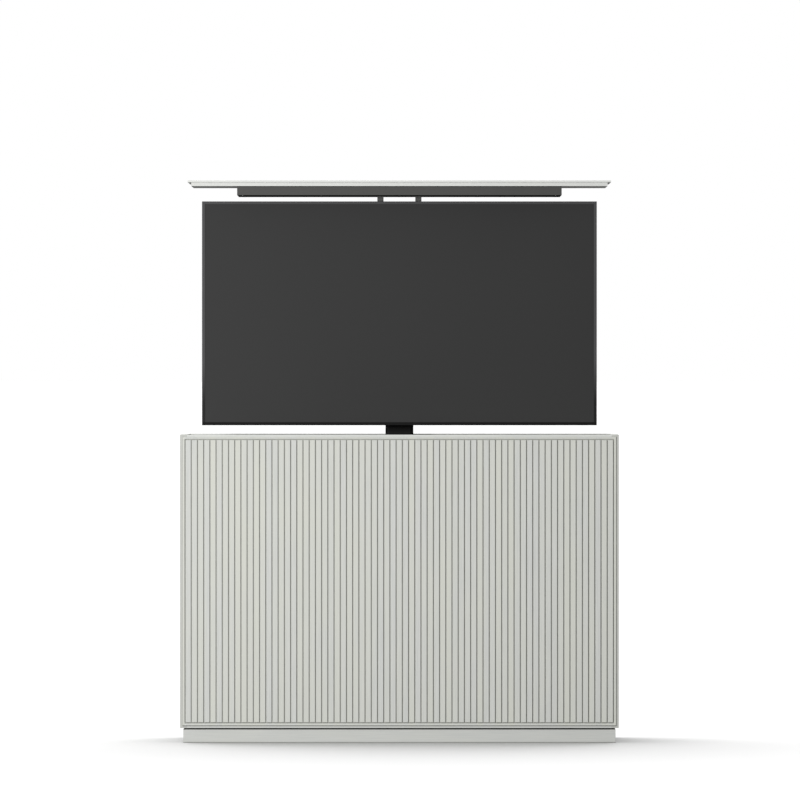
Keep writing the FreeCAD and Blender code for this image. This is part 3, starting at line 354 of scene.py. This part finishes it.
def lensPlastic(name):
    # a small green acrylic lens from a polished tool: glossy, with a faint haze
    material, tree, metres, eased = startMaterial(name, lens["light"], IOR=1.5)
    haze = addNode(tree, "TexNoise", {"Scale": 1 / (lens["haze"] * mm), "Detail": 4},
                   {"Vector": metres})
    addNode(tree, "MixRGB", {"Color1": hexToLinear(lens["dark"]),
                             "Color2": hexToLinear(lens["light"])}, {"Fac": haze}, "Base Color")
    addNode(tree, "MapRange", {"To Min": 0.16, "To Max": 0.26}, {"Value": haze}, "Roughness")
    addNode(tree, "Bump", {"Distance": lens["depth"] * mm},
            {"Height": haze, "Normal": eased}, "Normal")
    return material


weldSkin = {"scale": 2.5, "depth": 0.15, "plain": "2B2928", "dark": "1C1A19",
            "light": "3A3633"}


def weldScale(name):
    # the scale and heat tint on a weld bead under thin black paint
    material, tree, metres, eased = startMaterial(name, weldSkin["plain"], Metallic=0.5)
    scale = addNode(tree, "TexNoise", {"Scale": 1 / (weldSkin["scale"] * mm), "Detail": 5},
                    {"Vector": metres})
    addNode(tree, "MixRGB", {"Color1": hexToLinear(weldSkin["dark"]),
                             "Color2": hexToLinear(weldSkin["light"])},
            {"Fac": scale}, "Base Color")
    addNode(tree, "MapRange", {"To Min": 0.4, "To Max": 0.66}, {"Value": scale}, "Roughness")
    addNode(tree, "Bump", {"Distance": weldSkin["depth"] * mm},
            {"Height": scale, "Normal": eased}, "Normal")
    return material


# painted light: the lid and the top rails are lighter copies of the lacquer, mixed towards the
# fresh tone for the light they catch; the side panels, bottom panel and plinth mix in some of the
# grooves' deeper grey and come out darker
lacquerUpright = openPoreLacquer("lacquered_ash_upright", 2, other="cut", share=0.55)
lacquerLong = openPoreLacquer("lacquered_ash_lengthwise", 0, other="cut", share=0.08)
lacquerPlinth = openPoreLacquer("lacquered_ash_plinth", 0, other="cut", share=0.14,
                                footShade=plinthFootShade)
lacquerEnd = openPoreLacquer("lacquered_ash_plinth_end", 1, other="cut", share=0.14,
                             footShade=plinthFootShade)
lacquerRail = openPoreLacquer("lacquered_ash_rails", 0, share=0.12)
lacquerDeep = openPoreLacquer("lacquered_ash_front_to_back", 1)
lacquerFluted = openPoreLacquer("lacquered_ash_fluted", 2, fluted=True)
lacquerLid = openPoreLacquer("lacquered_ash_lid", 0, share=0.36)
coatBlack = powderCoat("powder_coat_black", "232323", "1A1A1A", 0.46)
# painted shade: the columns' coat is drawn near black for the shade they stand in under the
# television
coatColumn = powderCoat("powder_coat_satin_black", "0C0C0C", "090909", 0.5, 0.1)
# painted light: the posts' grey is lighter than the tray's coat, so that they read as lit in the
# shade under the tray
coatPost = powderCoat("powder_coat_grey", "6A6A68", "626260", 0.5, 0.35)
coatTray = powderCoat("powder_coat_graphite", "444442", "3E3E3C", 0.55, 0.3)
# the tray's bottom plate is black, with painted shade: its coat is drawn near black and without
# sheen for the deep shade under the tray; the television's black screws share it
coatUnder = powderCoat("powder_coat_flat_black", "070707", "050505", 0.9, 0.0)
coatPale = powderCoat("powder_coat_pale_grey", "CDCDC8", "C4C4BF", 0.42)
absBlack = mouldedPlastic("abs_black_grained", "232323", "1C1C1C", 0.5)
absFrame = mouldedPlastic("abs_dark_grey_fine", "484849", "444445", 0.5, 0.15, frameShade)
absChin = mouldedPlastic("abs_black_matt", "0E0E0E", "0B0B0B", 0.6, 0.1)
acetal = mouldedPlastic("acetal_natural", "D9D7CE", "CFCDC3", 0.36)
zincSteel = zincPlate("zinc_plated_steel")
castAlloy = dieCastAluminium("die_cast_aluminium")
threadSteel = rolledThreadSteel("rolled_thread_steel")
motorEnamel = stovedEnamel("stoved_black_enamel")
padFoam = foamRubber("foam_rubber_black")
blackBoard = stainedFibreboard("black_stained_fibreboard")
backBoard = pearlMelamine("melamine_faced_board")
screenFilm = antiGlareFilm("anti_glare_film")
lampGreen = lensPlastic("green_lens_plastic")
weldBrown = weldScale("painted_weld_bead")

finishes = {
    lacquerUpright: ["side_panel_left", "side_panel_right"],
    lacquerLong: ["bottom_panel"],
    lacquerPlinth: ["plinth_front", "plinth_rear"],
    lacquerEnd: ["plinth_left", "plinth_right"],
    lacquerRail: ["front_top_rail", "back_top_rail"],
    lacquerLid: ["lid"],
    lacquerDeep: ["lid_seat_left", "lid_seat_right", "plinth_crossbars"],
    lacquerFluted: ["front_panel"],
    blackBoard: ["plinth_spacer"],
    backBoard: ["back_panel"],
    coatPale: ["access_cover"],
    absBlack: ["cable_grommet", "outer_collar", "middle_collar", "control_box", "tv_rear_shell",
               "tv_housing"],
    padFoam: ["lid_pads", "carrier_pads"],
    coatBlack: ["lift_base_plate", "column_foot_left", "column_foot_right", "head_bracket",
                "tv_mount_plate", "tv_arm_left", "tv_arm_right"],
    coatColumn: ["outer_column", "middle_column", "inner_column"],
    castAlloy: ["gear_housing", "gear_cover"],
    zincSteel: ["base_bolts", "mount_bolts", "corner_angles"],
    motorEnamel: ["lift_motor", "motor_cap"],
    acetal: ["middle_glides", "inner_glides"],
    threadSteel: ["middle_foot", "inner_foot", "lower_spindle", "upper_spindle"],
    coatPost: ["lid_post_left", "lid_post_right"],
    coatTray: ["lid_carrier"],
    coatUnder: ["carrier_bottom_plate"],
    absFrame: ["tv_bezel"],
    screenFilm: ["tv_screen"],
}
for material, names in finishes.items():
    for name in names:
        nodes[name].data.materials.clear()
        nodes[name].data.materials.append(material)
missing = set(nodes) - {name for names in finishes.values() for name in names}
print("finishes given to", len(nodes) - len(missing), "nodes; left over:", sorted(missing))


def circle(radius, count=24):
    return [(radius * math.cos(math.tau * i / count), radius * math.sin(math.tau * i / count))
            for i in range(count)]


def hexagon(flat, count=24):
    # a hexagon by its width across the flats, with as many points as the circle it meets
    points = []
    for i in range(count):
        angle = math.tau * i / count
        reach = flat / 2 / math.cos((angle + math.tau / 12) % (math.tau / 6) - math.tau / 12)
        points.append((reach * math.cos(angle), reach * math.sin(angle)))
    return points


def crossCut(width, length, count=24):
    # a driver's cross by the half width and half length of its arms
    points = []
    for i in range(count):
        angle = math.tau * i / count
        off = abs((angle + math.tau / 8) % (math.tau / 4) - math.tau / 8)
        reach = length if off < 0.01 else width / math.sin(off)
        points.append((min(reach, length) * math.cos(angle), min(reach, length) * math.sin(angle)))
    return points


def rounded(width, height, radius, steps=5):
    # a rectangle with round corners
    points = []
    for turn, (sx, sy) in enumerate(((1, 1), (-1, 1), (-1, -1), (1, -1))):
        for i in range(steps + 1):
            angle = (turn + i / steps) * math.pi / 2
            points.append((sx * (width / 2 - radius) + radius * math.cos(angle),
                           sy * (height / 2 - radius) + radius * math.sin(angle)))
    return points


def bridged(mesh, rings, turned, closed=False):
    # skins matching rings of points one after the other, and caps both ends unless it closes
    made = [[mesh.verts.new(turned @ (Vector(p) * mm)) for p in ring] for ring in rings]
    for low, high in zip(made, made[1:] + made[:1] if closed else made[1:]):
        for i in range(len(low)):
            j = (i + 1) % len(low)
            mesh.faces.new((low[i], low[j], high[j], high[i]))
    if not closed:
        mesh.faces.new(made[0][::-1])
        mesh.faces.new(made[-1])


def stacked(outlines):
    # outlines in the plane with the height each one lies at
    return [[(x, y, z) for x, y in outline] for outline, z in outlines]


def facing(x, y, z, way):
    # a frame at a place in millimetres whose own upright points this way
    turn = Vector(way).to_track_quat("Z", "Y").to_matrix().to_4x4()
    return Matrix.Translation(Vector((x, y, z)) * mm) @ turn


def finishPiece(name, mesh, material, body, ease=0.0):
    bmesh.ops.recalc_face_normals(mesh, faces=mesh.faces)
    data = bpy.data.meshes.new(name)
    mesh.to_mesh(data)
    mesh.free()
    data.materials.append(material)
    piece = bpy.data.objects.new(name, data)
    bpy.context.scene.collection.objects.link(piece)
    if ease:
        bevel = piece.modifiers.new("eased_edges", "BEVEL")
        bevel.width = ease * mm
        bevel.segments = 2
        bevel.limit_method = "ANGLE"
        bevel.angle_limit = math.radians(40)
    data.shade_smooth()
    crease = piece.modifiers.new("flat_faces", "EDGE_SPLIT")
    crease.split_angle = math.radians(38)
    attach(piece, body)
    return piece


# outlines of the heads are shares of the radius and of the height, from the seat upwards
woodScrew = {"radius": 3.6, "height": 1.8, "armWidth": 0.45, "armLength": 1.9, "cutDepth": 0.4,
             "dome": ((1, 0), (1, 0.3), (0.93, 0.62), (0.76, 0.9), (0.58, 1)), "taper": 0.8}
sunkScrew = {"proud": 0.4, "rim": 0.94, "floor": 0.08}
capScrew = {"radius": 4.25, "height": 5, "chamfer": 0.5, "key": 4, "keyFloor": 0.45}


def panHead(mesh, spot, way):
    # low domed head with a cross recess
    size, tall, taper = woodScrew["radius"], woodScrew["height"], woodScrew["taper"]
    cut = crossCut(woodScrew["armWidth"], woodScrew["armLength"])
    dome = [(circle(wide * size), rise * tall) for wide, rise in woodScrew["dome"]]
    recess = [(cut, tall), ([(taper * x, taper * y) for x, y in cut],
                            woodScrew["cutDepth"] * tall)]
    bridged(mesh, stacked(dome + recess), facing(*spot, way))


def flatHead(mesh, spot, way):
    # countersunk head, a hair proud of its sheet
    size, cut = woodScrew["radius"], crossCut(woodScrew["armWidth"], woodScrew["armLength"])
    proud = sunkScrew["proud"]
    bridged(mesh, stacked([(circle(size), 0), (circle(sunkScrew["rim"] * size), proud),
                           (cut, proud), (cut, sunkScrew["floor"])]), facing(*spot, way))


def socketHead(mesh, spot, way):
    # cylinder head with a chamfer and a hexagon socket
    size, tall, chamfer = capScrew["radius"], capScrew["height"], capScrew["chamfer"]
    key = hexagon(capScrew["key"])
    bridged(mesh, stacked([(circle(size), 0), (circle(size), tall - chamfer),
                           (circle(size - chamfer), tall), (key, tall),
                           (key, capScrew["keyFloor"] * tall)]), facing(*spot, way))


def screwSet(name, head, spots, body, material):
    mesh = bmesh.new()
    for spot, way in spots:
        head(mesh, spot, way)
    return finishPiece(name, mesh, material, body)


rearward, upward, downward, forward = (0, 1, 0), (0, 0, 1), (0, 0, -1), (0, -1, 0)
bothSides = (-1, 1)

coverFixing = {"inset": 11}
low, high = corners("access_cover")
columns = (low.x + coverFixing["inset"], 0, high.x - coverFixing["inset"])
levels = (low.z + coverFixing["inset"], (low.z + high.z) / 2, high.z - coverFixing["inset"])
coverSpots = [(x, high.y, z) for x in columns for z in levels if x or z != levels[1]]
screwSet("access_cover_screws", panHead, [(spot, rearward) for spot in coverSpots],
         "cabinet", zincSteel)

backFixing = {"pitch": 200, "rise": 11, "eachSide": 3}
backFace, floorLow = corners("back_panel")[1].y, corners("bottom_panel")[0].z
screwSet("back_panel_screws", panHead,
         [((k * backFixing["pitch"], backFace, floorLow + backFixing["rise"]), rearward)
          for k in range(-backFixing["eachSide"], backFixing["eachSide"] + 1)],
         "cabinet", zincSteel)

gearFixing = {"inset": 8, "span": 61}
gearHigh = corners("gear_cover")[1]
rearRow = gearHigh.y - gearFixing["inset"]
screwSet("gearbox_screws", socketHead,
         [((side * (gearHigh.x - gearFixing["inset"]), y, gearHigh.z), upward)
          for side in bothSides for y in (rearRow - gearFixing["span"], rearRow)],
         "cabinet", zincSteel)

angleFixing = {"sheet": 3, "inset": 26, "drop": 14, "reach": 120}
low, high = corners("corner_angles")
flat, upright = low.z + angleFixing["sheet"], high.x - angleFixing["sheet"]
angleSpots = [((side * (high.x - angleFixing["inset"]), end * angleFixing["reach"], flat), upward)
              for side in bothSides for end in bothSides]
angleSpots += [((side * upright, end * angleFixing["reach"], high.z - angleFixing["drop"]),
                (-side, 0, 0)) for side in bothSides for end in bothSides]
screwSet("corner_angle_screws", panHead, angleSpots, "cabinet", zincSteel)

postFixing = {"sheet": 3, "reach": 17}
low, high = corners("lid_post_right")
middle = (low + high) / 2
screwSet("lid_post_screws", panHead,
         [((side * middle.x + end * postFixing["reach"], middle.y,
            low.z + postFixing["sheet"]), upward) for side in bothSides for end in bothSides],
         "inner_stage", zincSteel)

trayFixing = {"pitch": 250, "inset": 13, "eachSide": 2}
low, high = corners("carrier_bottom_plate")
screwSet("tray_screws", flatHead,
         [((k * trayFixing["pitch"], y, low.z), downward)
          for k in range(-trayFixing["eachSide"], trayFixing["eachSide"] + 1)
          for y in (low.y + trayFixing["inset"], high.y - trayFixing["inset"])],
         "inner_stage", zincSteel)

armFixing = {"sheet": 2, "reach": 150}
low, high = corners("tv_arm_right")
middle = (low + high) / 2
screwSet("tv_arm_screws", socketHead,
         [((side * middle.x, low.y + armFixing["sheet"], middle.z + end * armFixing["reach"]),
           rearward) for side in bothSides for end in bothSides],
         "inner_stage", zincSteel)

shellFixing = {"inset": 19, "rise": 17, "sidePitch": 170, "sideCount": 4, "topPitch": 200,
               "topEachSide": 2}
low, high = corners("tv_rear_shell")
edgeX, edgeTop = high.x - shellFixing["inset"], high.z - shellFixing["inset"]
shellSpots = [(side * edgeX, high.y, low.z + shellFixing["rise"] + shellFixing["sidePitch"] * k)
              for side in bothSides for k in range(shellFixing["sideCount"])]
topRow = [k * shellFixing["topPitch"]
          for k in range(-shellFixing["topEachSide"], shellFixing["topEachSide"] + 1)]
shellSpots += [(x, high.y, edgeTop) for x in (-edgeX, *topRow, edgeX)]
screwSet("tv_shell_screws", panHead, [(spot, rearward) for spot in shellSpots],
         "inner_stage", coatUnder)

caseFixing = {"x": 400, "inset": 30}
caseLow, caseHigh = corners("tv_housing")
screwSet("tv_housing_screws", panHead,
         [((side * caseFixing["x"], caseHigh.y, z), rearward) for side in bothSides
          for z in (caseLow.z + caseFixing["inset"], caseHigh.z - caseFixing["inset"])],
         "inner_stage", coatUnder)
print("screws are in")

bead = {"radius": 2.3, "ripple": 3.0, "swell": 0.1, "tip": 0.55, "points": 10}


def weldBead(mesh, start, end):
    # overlapping puddles, drawn as ripples along a half-sunk round bead
    run = Vector(end) - Vector(start)
    # two rings to a ripple, a thick one and a thin one, and a small ring at each tip
    steps = 2 * round(run.length / bead["ripple"])
    rings = []
    for i in range(steps + 1):
        swell = bead["tip"] if i in (0, steps) else 1 + bead["swell"] * (-1) ** i
        rings.append([(x, y, run.length * i / steps)
                      for x, y in circle(bead["radius"] * swell, bead["points"])])
    bridged(mesh, rings, facing(*start, run))


# the beads' middles stand proud of the bracket's faces, and their ends stop short of its corners
footWeld = {"proud": 0.5, "rise": 0.6, "inset": 1, "short": 2, "overGearbox": 6, "inner": 5}
welds = bmesh.new()
low, high = corners("column_foot_right")
proud, inset, short = footWeld["proud"], footWeld["inset"], footWeld["short"]
plate = low.z + footWeld["rise"]
for side in bothSides:
    near, far = side * (low.x + inset), side * (high.x + proud)
    for y in (low.y - proud, high.y + proud):
        weldBead(welds, (near, y, gearHigh.z + footWeld["overGearbox"]), (near, y, high.z - short))
        weldBead(welds, (side * (low.x + footWeld["inner"]), y, plate),
                 (side * (high.x - inset), y, plate))
    weldBead(welds, (near, low.y + short, high.z + proud), (near, high.y - short, high.z + proud))
    weldBead(welds, (far, low.y + inset, plate), (far, high.y - inset, plate))
finishPiece("column_foot_welds", welds, weldBrown, "cabinet")

controlLid = {"width": 140, "depth": 52, "height": 1.4, "corner": 4, "edge": 0.9, "chamfer": 1,
              "screwX": 63, "screwY": 19, "earInset": 7, "earSheet": 3}
low, high = corners("control_box")
middle = (low + high) / 2
long, deep, chamfer = controlLid["width"], controlLid["depth"], controlLid["chamfer"]
plan = rounded(long, deep, controlLid["corner"])
inner = rounded(long - 2 * chamfer, deep - 2 * chamfer, controlLid["corner"] - chamfer)
cover = bmesh.new()
bridged(cover, stacked([(plan, 0), (plan, controlLid["edge"]), (inner, controlLid["height"])]),
        facing(middle.x, middle.y, high.z, upward))
finishPiece("control_box_lid", cover, absBlack, "cabinet")
lidTop = high.z + controlLid["height"]
boxSpots = [((middle.x + side * controlLid["screwX"], middle.y + end * controlLid["screwY"],
              lidTop), upward) for side in bothSides for end in bothSides]
boxSpots += [((x, middle.y, low.z + controlLid["earSheet"]), upward)
             for x in (low.x + controlLid["earInset"], high.x - controlLid["earInset"])]
screwSet("control_box_screws", panHead, boxSpots, "cabinet", zincSteel)

socketRim = {"wall": 1.5, "cornerShare": 0.6, "floor": 0.2}


def socketFrame(mesh, spot, way, width, height, corner, proud):
    # a raised rim round a shallow opening
    wall = socketRim["wall"]
    outer = rounded(width, height, corner)
    mouth = rounded(width - 2 * wall, height - 2 * wall, corner * socketRim["cornerShare"])
    bridged(mesh, stacked([(outer, 0), (outer, proud), (mouth, proud),
                           (mouth, socketRim["floor"])]), facing(*spot, way))


# each rim is its width, height, corner and how far it stands out
controlSockets = {"small": (22, 13, 1.5, 2.4), "smallAt": (-53, -25, 3),
                  "large": (32, 22, 3, 3), "largeAt": 47}
sockets = bmesh.new()
for x in controlSockets["smallAt"]:
    socketFrame(sockets, (middle.x + x, high.y, middle.z), rearward, *controlSockets["small"])
socketFrame(sockets, (middle.x + controlSockets["largeAt"], high.y, middle.z), rearward,
            *controlSockets["large"])
finishPiece("control_box_sockets", sockets, absChin, "cabinet", ease=0.3)

signalLens = {"x": -40, "dome": ((3.4, 0), (3.4, 0.6), (2.2, 1.1))}
signal = bmesh.new()
bridged(signal, stacked([(circle(radius), rise) for radius, rise in signalLens["dome"]]),
        facing(middle.x + signalLens["x"], middle.y, lidTop, upward))
finishPiece("control_box_signal", signal, lampGreen, "cabinet")

rubber = {"petals": 8, "reach": 27.4, "heart": 2.5, "gap": 0.5, "thickness": 1.6, "sunk": 4,
          "steps": 6}
low, high = corners("cable_grommet")
middle, steps = (low + high) / 2, rubber["steps"]
sector = math.tau / rubber["petals"]
petals = bmesh.new()
for k in range(rubber["petals"]):
    # out along the rim and back round the hole in the middle
    fan = []
    for radius, order in ((rubber["reach"], range(steps + 1)),
                          (rubber["heart"], range(steps, -1, -1))):
        slit = rubber["gap"] / radius
        for i in order:
            angle = k * sector + slit + (sector - 2 * slit) * i / steps
            fan.append((radius * math.cos(angle), radius * math.sin(angle)))
    bridged(petals, stacked([(fan, 0), (fan, rubber["thickness"])]),
            facing(middle.x, low.y + rubber["sunk"], middle.z, rearward))
finishPiece("grommet_petals", petals, padFoam, "cabinet")

# painted shade: a black foam ring fills the gap between the tray and the lid, from the tray's box
# to the lid's, standing in for the shadow line under the lid
shadeRing = {"inset": 0.5, "width": 8, "corner": 1.5}
low, high = corners("lid_carrier")
middle, thickness = (low + high) / 2, corners("lid")[0].z - high.z
long, deep = high.x - low.x - 2 * shadeRing["inset"], high.y - low.y - 2 * shadeRing["inset"]
outer = rounded(long, deep, shadeRing["corner"])
inner = rounded(long - 2 * shadeRing["width"], deep - 2 * shadeRing["width"], shadeRing["corner"])
shadeRingMesh = bmesh.new()
bridged(shadeRingMesh, stacked([(outer, 0), (outer, thickness), (inner, thickness), (inner, 0)]),
        facing(middle.x, middle.y, high.z, upward), closed=True)
finishPiece("tray_shade_ring", shadeRingMesh, padFoam, "inner_stage")

chin = {"inset": 1.2, "height": 9.4, "rise": 5.2, "corner": 0.8, "proud": 0.5, "sunk": 0.4}
low, high = corners("tv_bezel")
bar = rounded(2 * (high.x - chin["inset"]), chin["height"], chin["corner"])
strip = bmesh.new()
bridged(strip, stacked([(bar, -chin["sunk"]), (bar, chin["proud"])]),
        facing(0, low.y, low.z + chin["rise"], forward))
finishPiece("tv_chin_strip", strip, absChin, "inner_stage")

grille = {"width": 170, "height": 24, "corner": 4, "frame": 2.5, "proud": 1, "floor": 0.3,
          "rib": 2.2, "ribCorner": 1, "ribFoot": 0.2, "pitch": 5, "margin": 12, "x": 270,
          "rise": 46}
inside = 2 * grille["frame"]
outer, mouth = (rounded(grille["width"] - less, grille["height"] - less, grille["corner"])
                for less in (0, inside))
bar = rounded(grille["rib"], grille["height"] - inside, grille["ribCorner"])
count = int((grille["width"] - grille["margin"]) / grille["pitch"])
speakers = bmesh.new()
for side in bothSides:
    centre = facing(side * grille["x"], caseHigh.y, caseLow.z + grille["rise"], rearward)
    bridged(speakers, stacked([(outer, 0), (outer, grille["proud"]), (mouth, grille["proud"]),
                               (mouth, grille["floor"])]), centre)
    for i in range(count + 1):
        rib = [(x + (i - count / 2) * grille["pitch"], y) for x, y in bar]
        bridged(speakers, stacked([(rib, grille["ribFoot"]), (rib, grille["proud"])]), centre)
finishPiece("tv_speaker_grilles", speakers, absChin, "inner_stage")

portPanel = {"x": -338, "rise": 214, "width": 74, "height": 250, "corner": 6, "rim": 2,
             "shelfCorner": 5, "proud": 1.2, "floor": 0.4}
face, heart = caseHigh.y, caseLow.z + portPanel["rise"]
rim, proud = 2 * portPanel["rim"], portPanel["proud"]
edge = rounded(portPanel["width"], portPanel["height"], portPanel["corner"])
shelf = rounded(portPanel["width"] - rim, portPanel["height"] - rim, portPanel["shelfCorner"])
panel = bmesh.new()
bridged(panel, stacked([(edge, 0), (edge, proud), (shelf, proud), (shelf, portPanel["floor"])]),
        facing(portPanel["x"], face, heart, rearward))
finishPiece("tv_port_panel", panel, absChin, "inner_stage", ease=0.3)

# ports stand in a column, with heights from the panel's middle: four flat ones, two square
# ones and two round ones with a hexagon nut
flatPorts = {"rim": (9, 19, 1, 2), "rises": (95, 65, 35, 5)}
squarePorts = {"rim": (10, 17, 1, 2), "rises": (-30, -56)}
roundPorts = {"nut": 12, "nutHeight": 2.5, "radius": 4.6, "bore": 3.4, "length": 8, "floor": 3,
              "rises": (-84, -106)}
ports = bmesh.new()
shelfFace = face + portPanel["floor"]
for group in (flatPorts, squarePorts):
    for rise in group["rises"]:
        socketFrame(ports, (portPanel["x"], shelfFace, heart + rise), rearward, *group["rim"])
nut, barrel, bore = (hexagon(roundPorts["nut"]), circle(roundPorts["radius"]),
                     circle(roundPorts["bore"]))
for rise in roundPorts["rises"]:
    bridged(ports, stacked([(nut, 0), (nut, roundPorts["nutHeight"]),
                            (barrel, roundPorts["nutHeight"]), (barrel, roundPorts["length"]),
                            (bore, roundPorts["length"]), (bore, roundPorts["floor"])]),
            facing(portPanel["x"], shelfFace, heart + rise, rearward))
finishPiece("tv_ports", ports, zincSteel, "inner_stage")

powerInlet = {"x": 338, "rise": 104, "rim": (46, 30, 6, 3)}
inlet = bmesh.new()
socketFrame(inlet, (powerInlet["x"], face, caseLow.z + powerInlet["rise"]), rearward,
            *powerInlet["rim"])
finishPiece("tv_power_inlet", inlet, absChin, "inner_stage", ease=0.3)
print("fittings are in")

shot = {"focal": 395, "sensor": 36, "farthest": 500, "eye": (0.0019, -28.21, 1.219),
        "aim": (0.0019, -0.21, 1.0938)}
camera = bpy.data.objects.new("camera", bpy.data.cameras.new("camera"))
camera.data.lens = shot["focal"]
camera.data.sensor_width = shot["sensor"]
camera.data.clip_end = shot["farthest"]
camera.location = shot["eye"]
sight = Vector(shot["aim"]) - Vector(shot["eye"])
camera.rotation_euler = sight.to_track_quat("-Z", "Y").to_euler()
bpy.context.scene.collection.objects.link(camera)
bpy.context.scene.camera = camera

studio = {"dome": 0.42, "floorHalf": 1500, "floorTone": "F8F8F8", "floorBounce": "707070",
          "contactReach": 0.4, "contactFrom": 0.45, "contactTone": 0.8,
          "topPower": 3.2, "topFrom": (-0.23, 0.8, 1.0), "topAngle": 90,
          "frontPower": 350, "frontSize": 1.6, "frontFrom": (-2.6, -6.2, 1.9),
          "frontAt": (0, -0.2, 0.9)}


def lamp(name, kind, place, target, spares=None, **settings):
    # a lamp that spares the floor lights the object alone
    light = bpy.data.lights.new(name, kind)
    for key, value in settings.items():
        setattr(light, key, value)
    holder = bpy.data.objects.new(name, light)
    holder.location = place
    holder.rotation_euler = (Vector(target) - Vector(place)).to_track_quat("-Z", "Y").to_euler()
    holder.visible_camera = False
    bpy.context.scene.collection.objects.link(holder)
    if spares:
        kept = bpy.data.collections.new(name + "_spares")
        kept.objects.link(spares)
        kept.collection_objects[0].light_linking.link_state = "EXCLUDE"
        holder.light_linking.receiver_collection = kept


def paleFloor():
    half = studio["floorHalf"]
    mesh = bpy.data.meshes.new("floor")
    mesh.from_pydata([(-half, -half, 0), (half, -half, 0), (half, half, 0), (-half, half, 0)], [],
                     [(0, 1, 2, 3)])
    floor = bpy.data.objects.new("floor", mesh)
    bpy.context.scene.collection.objects.link(floor)
    material, tree, metres, eased = startMaterial("matt_floor_paint", studio["floorTone"],
                                                  Roughness=0.9, Specular_IOR_Level=0.0)
    # the soft contact shadow round the plinth is drawn a little deeper than the lamps make it
    contact = addNode(tree, "AmbientOcclusion", {"Distance": studio["contactReach"], "samples": 8})
    shade = addNode(tree, "MapRange", {"From Min": studio["contactFrom"],
                                       "To Min": studio["contactTone"]},
                    {"Value": contact.outputs["AO"]})
    addNode(tree, "MixRGB", {"blend_type": "MULTIPLY", "Fac": 1.0,
                             "Color1": hexToLinear(studio["floorTone"])}, {"Color2": shade},
            "Base Color")
    # white where it is seen, and darker for the light it throws back up under the cabinet
    dim = addNode(tree, "BsdfDiffuse", {"Color": hexToLinear(studio["floorBounce"])})
    direct = addNode(tree, "LightPath").outputs["Is Camera Ray"]
    mixed = addNode(tree, "MixShader", {}, {"Fac": direct, 1: dim,
                                            2: tree.nodes["Principled BSDF"]})
    tree.links.new(mixed.outputs[0], tree.nodes["Material Output"].inputs["Surface"])
    mesh.materials.append(material)
    return floor


floor = paleFloor()
lamp("top_softbox", "SUN", studio["topFrom"], (0, 0, 0), energy=studio["topPower"],
     angle=math.radians(studio["topAngle"]))
lamp("front_softbox", "AREA", studio["frontFrom"], studio["frontAt"], floor,
     energy=studio["frontPower"], size=studio["frontSize"])
world = bpy.data.worlds.new("white_studio")
world.use_nodes = True
sky = world.node_tree
lit = sky.nodes["Background"]
lit.inputs["Strength"].default_value = studio["dome"]
lit.inputs["Color"].default_value = (1, 1, 1, 1)
seen = addNode(sky, "Background", {"Strength": 1.0, "Color": (1, 1, 1, 1)})
pick = addNode(sky, "LightPath").outputs["Is Camera Ray"]
both = addNode(sky, "MixShader", {}, {"Fac": pick, 1: lit, 2: seen})
sky.links.new(both.outputs[0], sky.nodes["World Output"].inputs["Surface"])
bpy.context.scene.world = world
bpy.context.scene.view_settings.view_transform = "Standard"
print("camera, floor and lights are set")
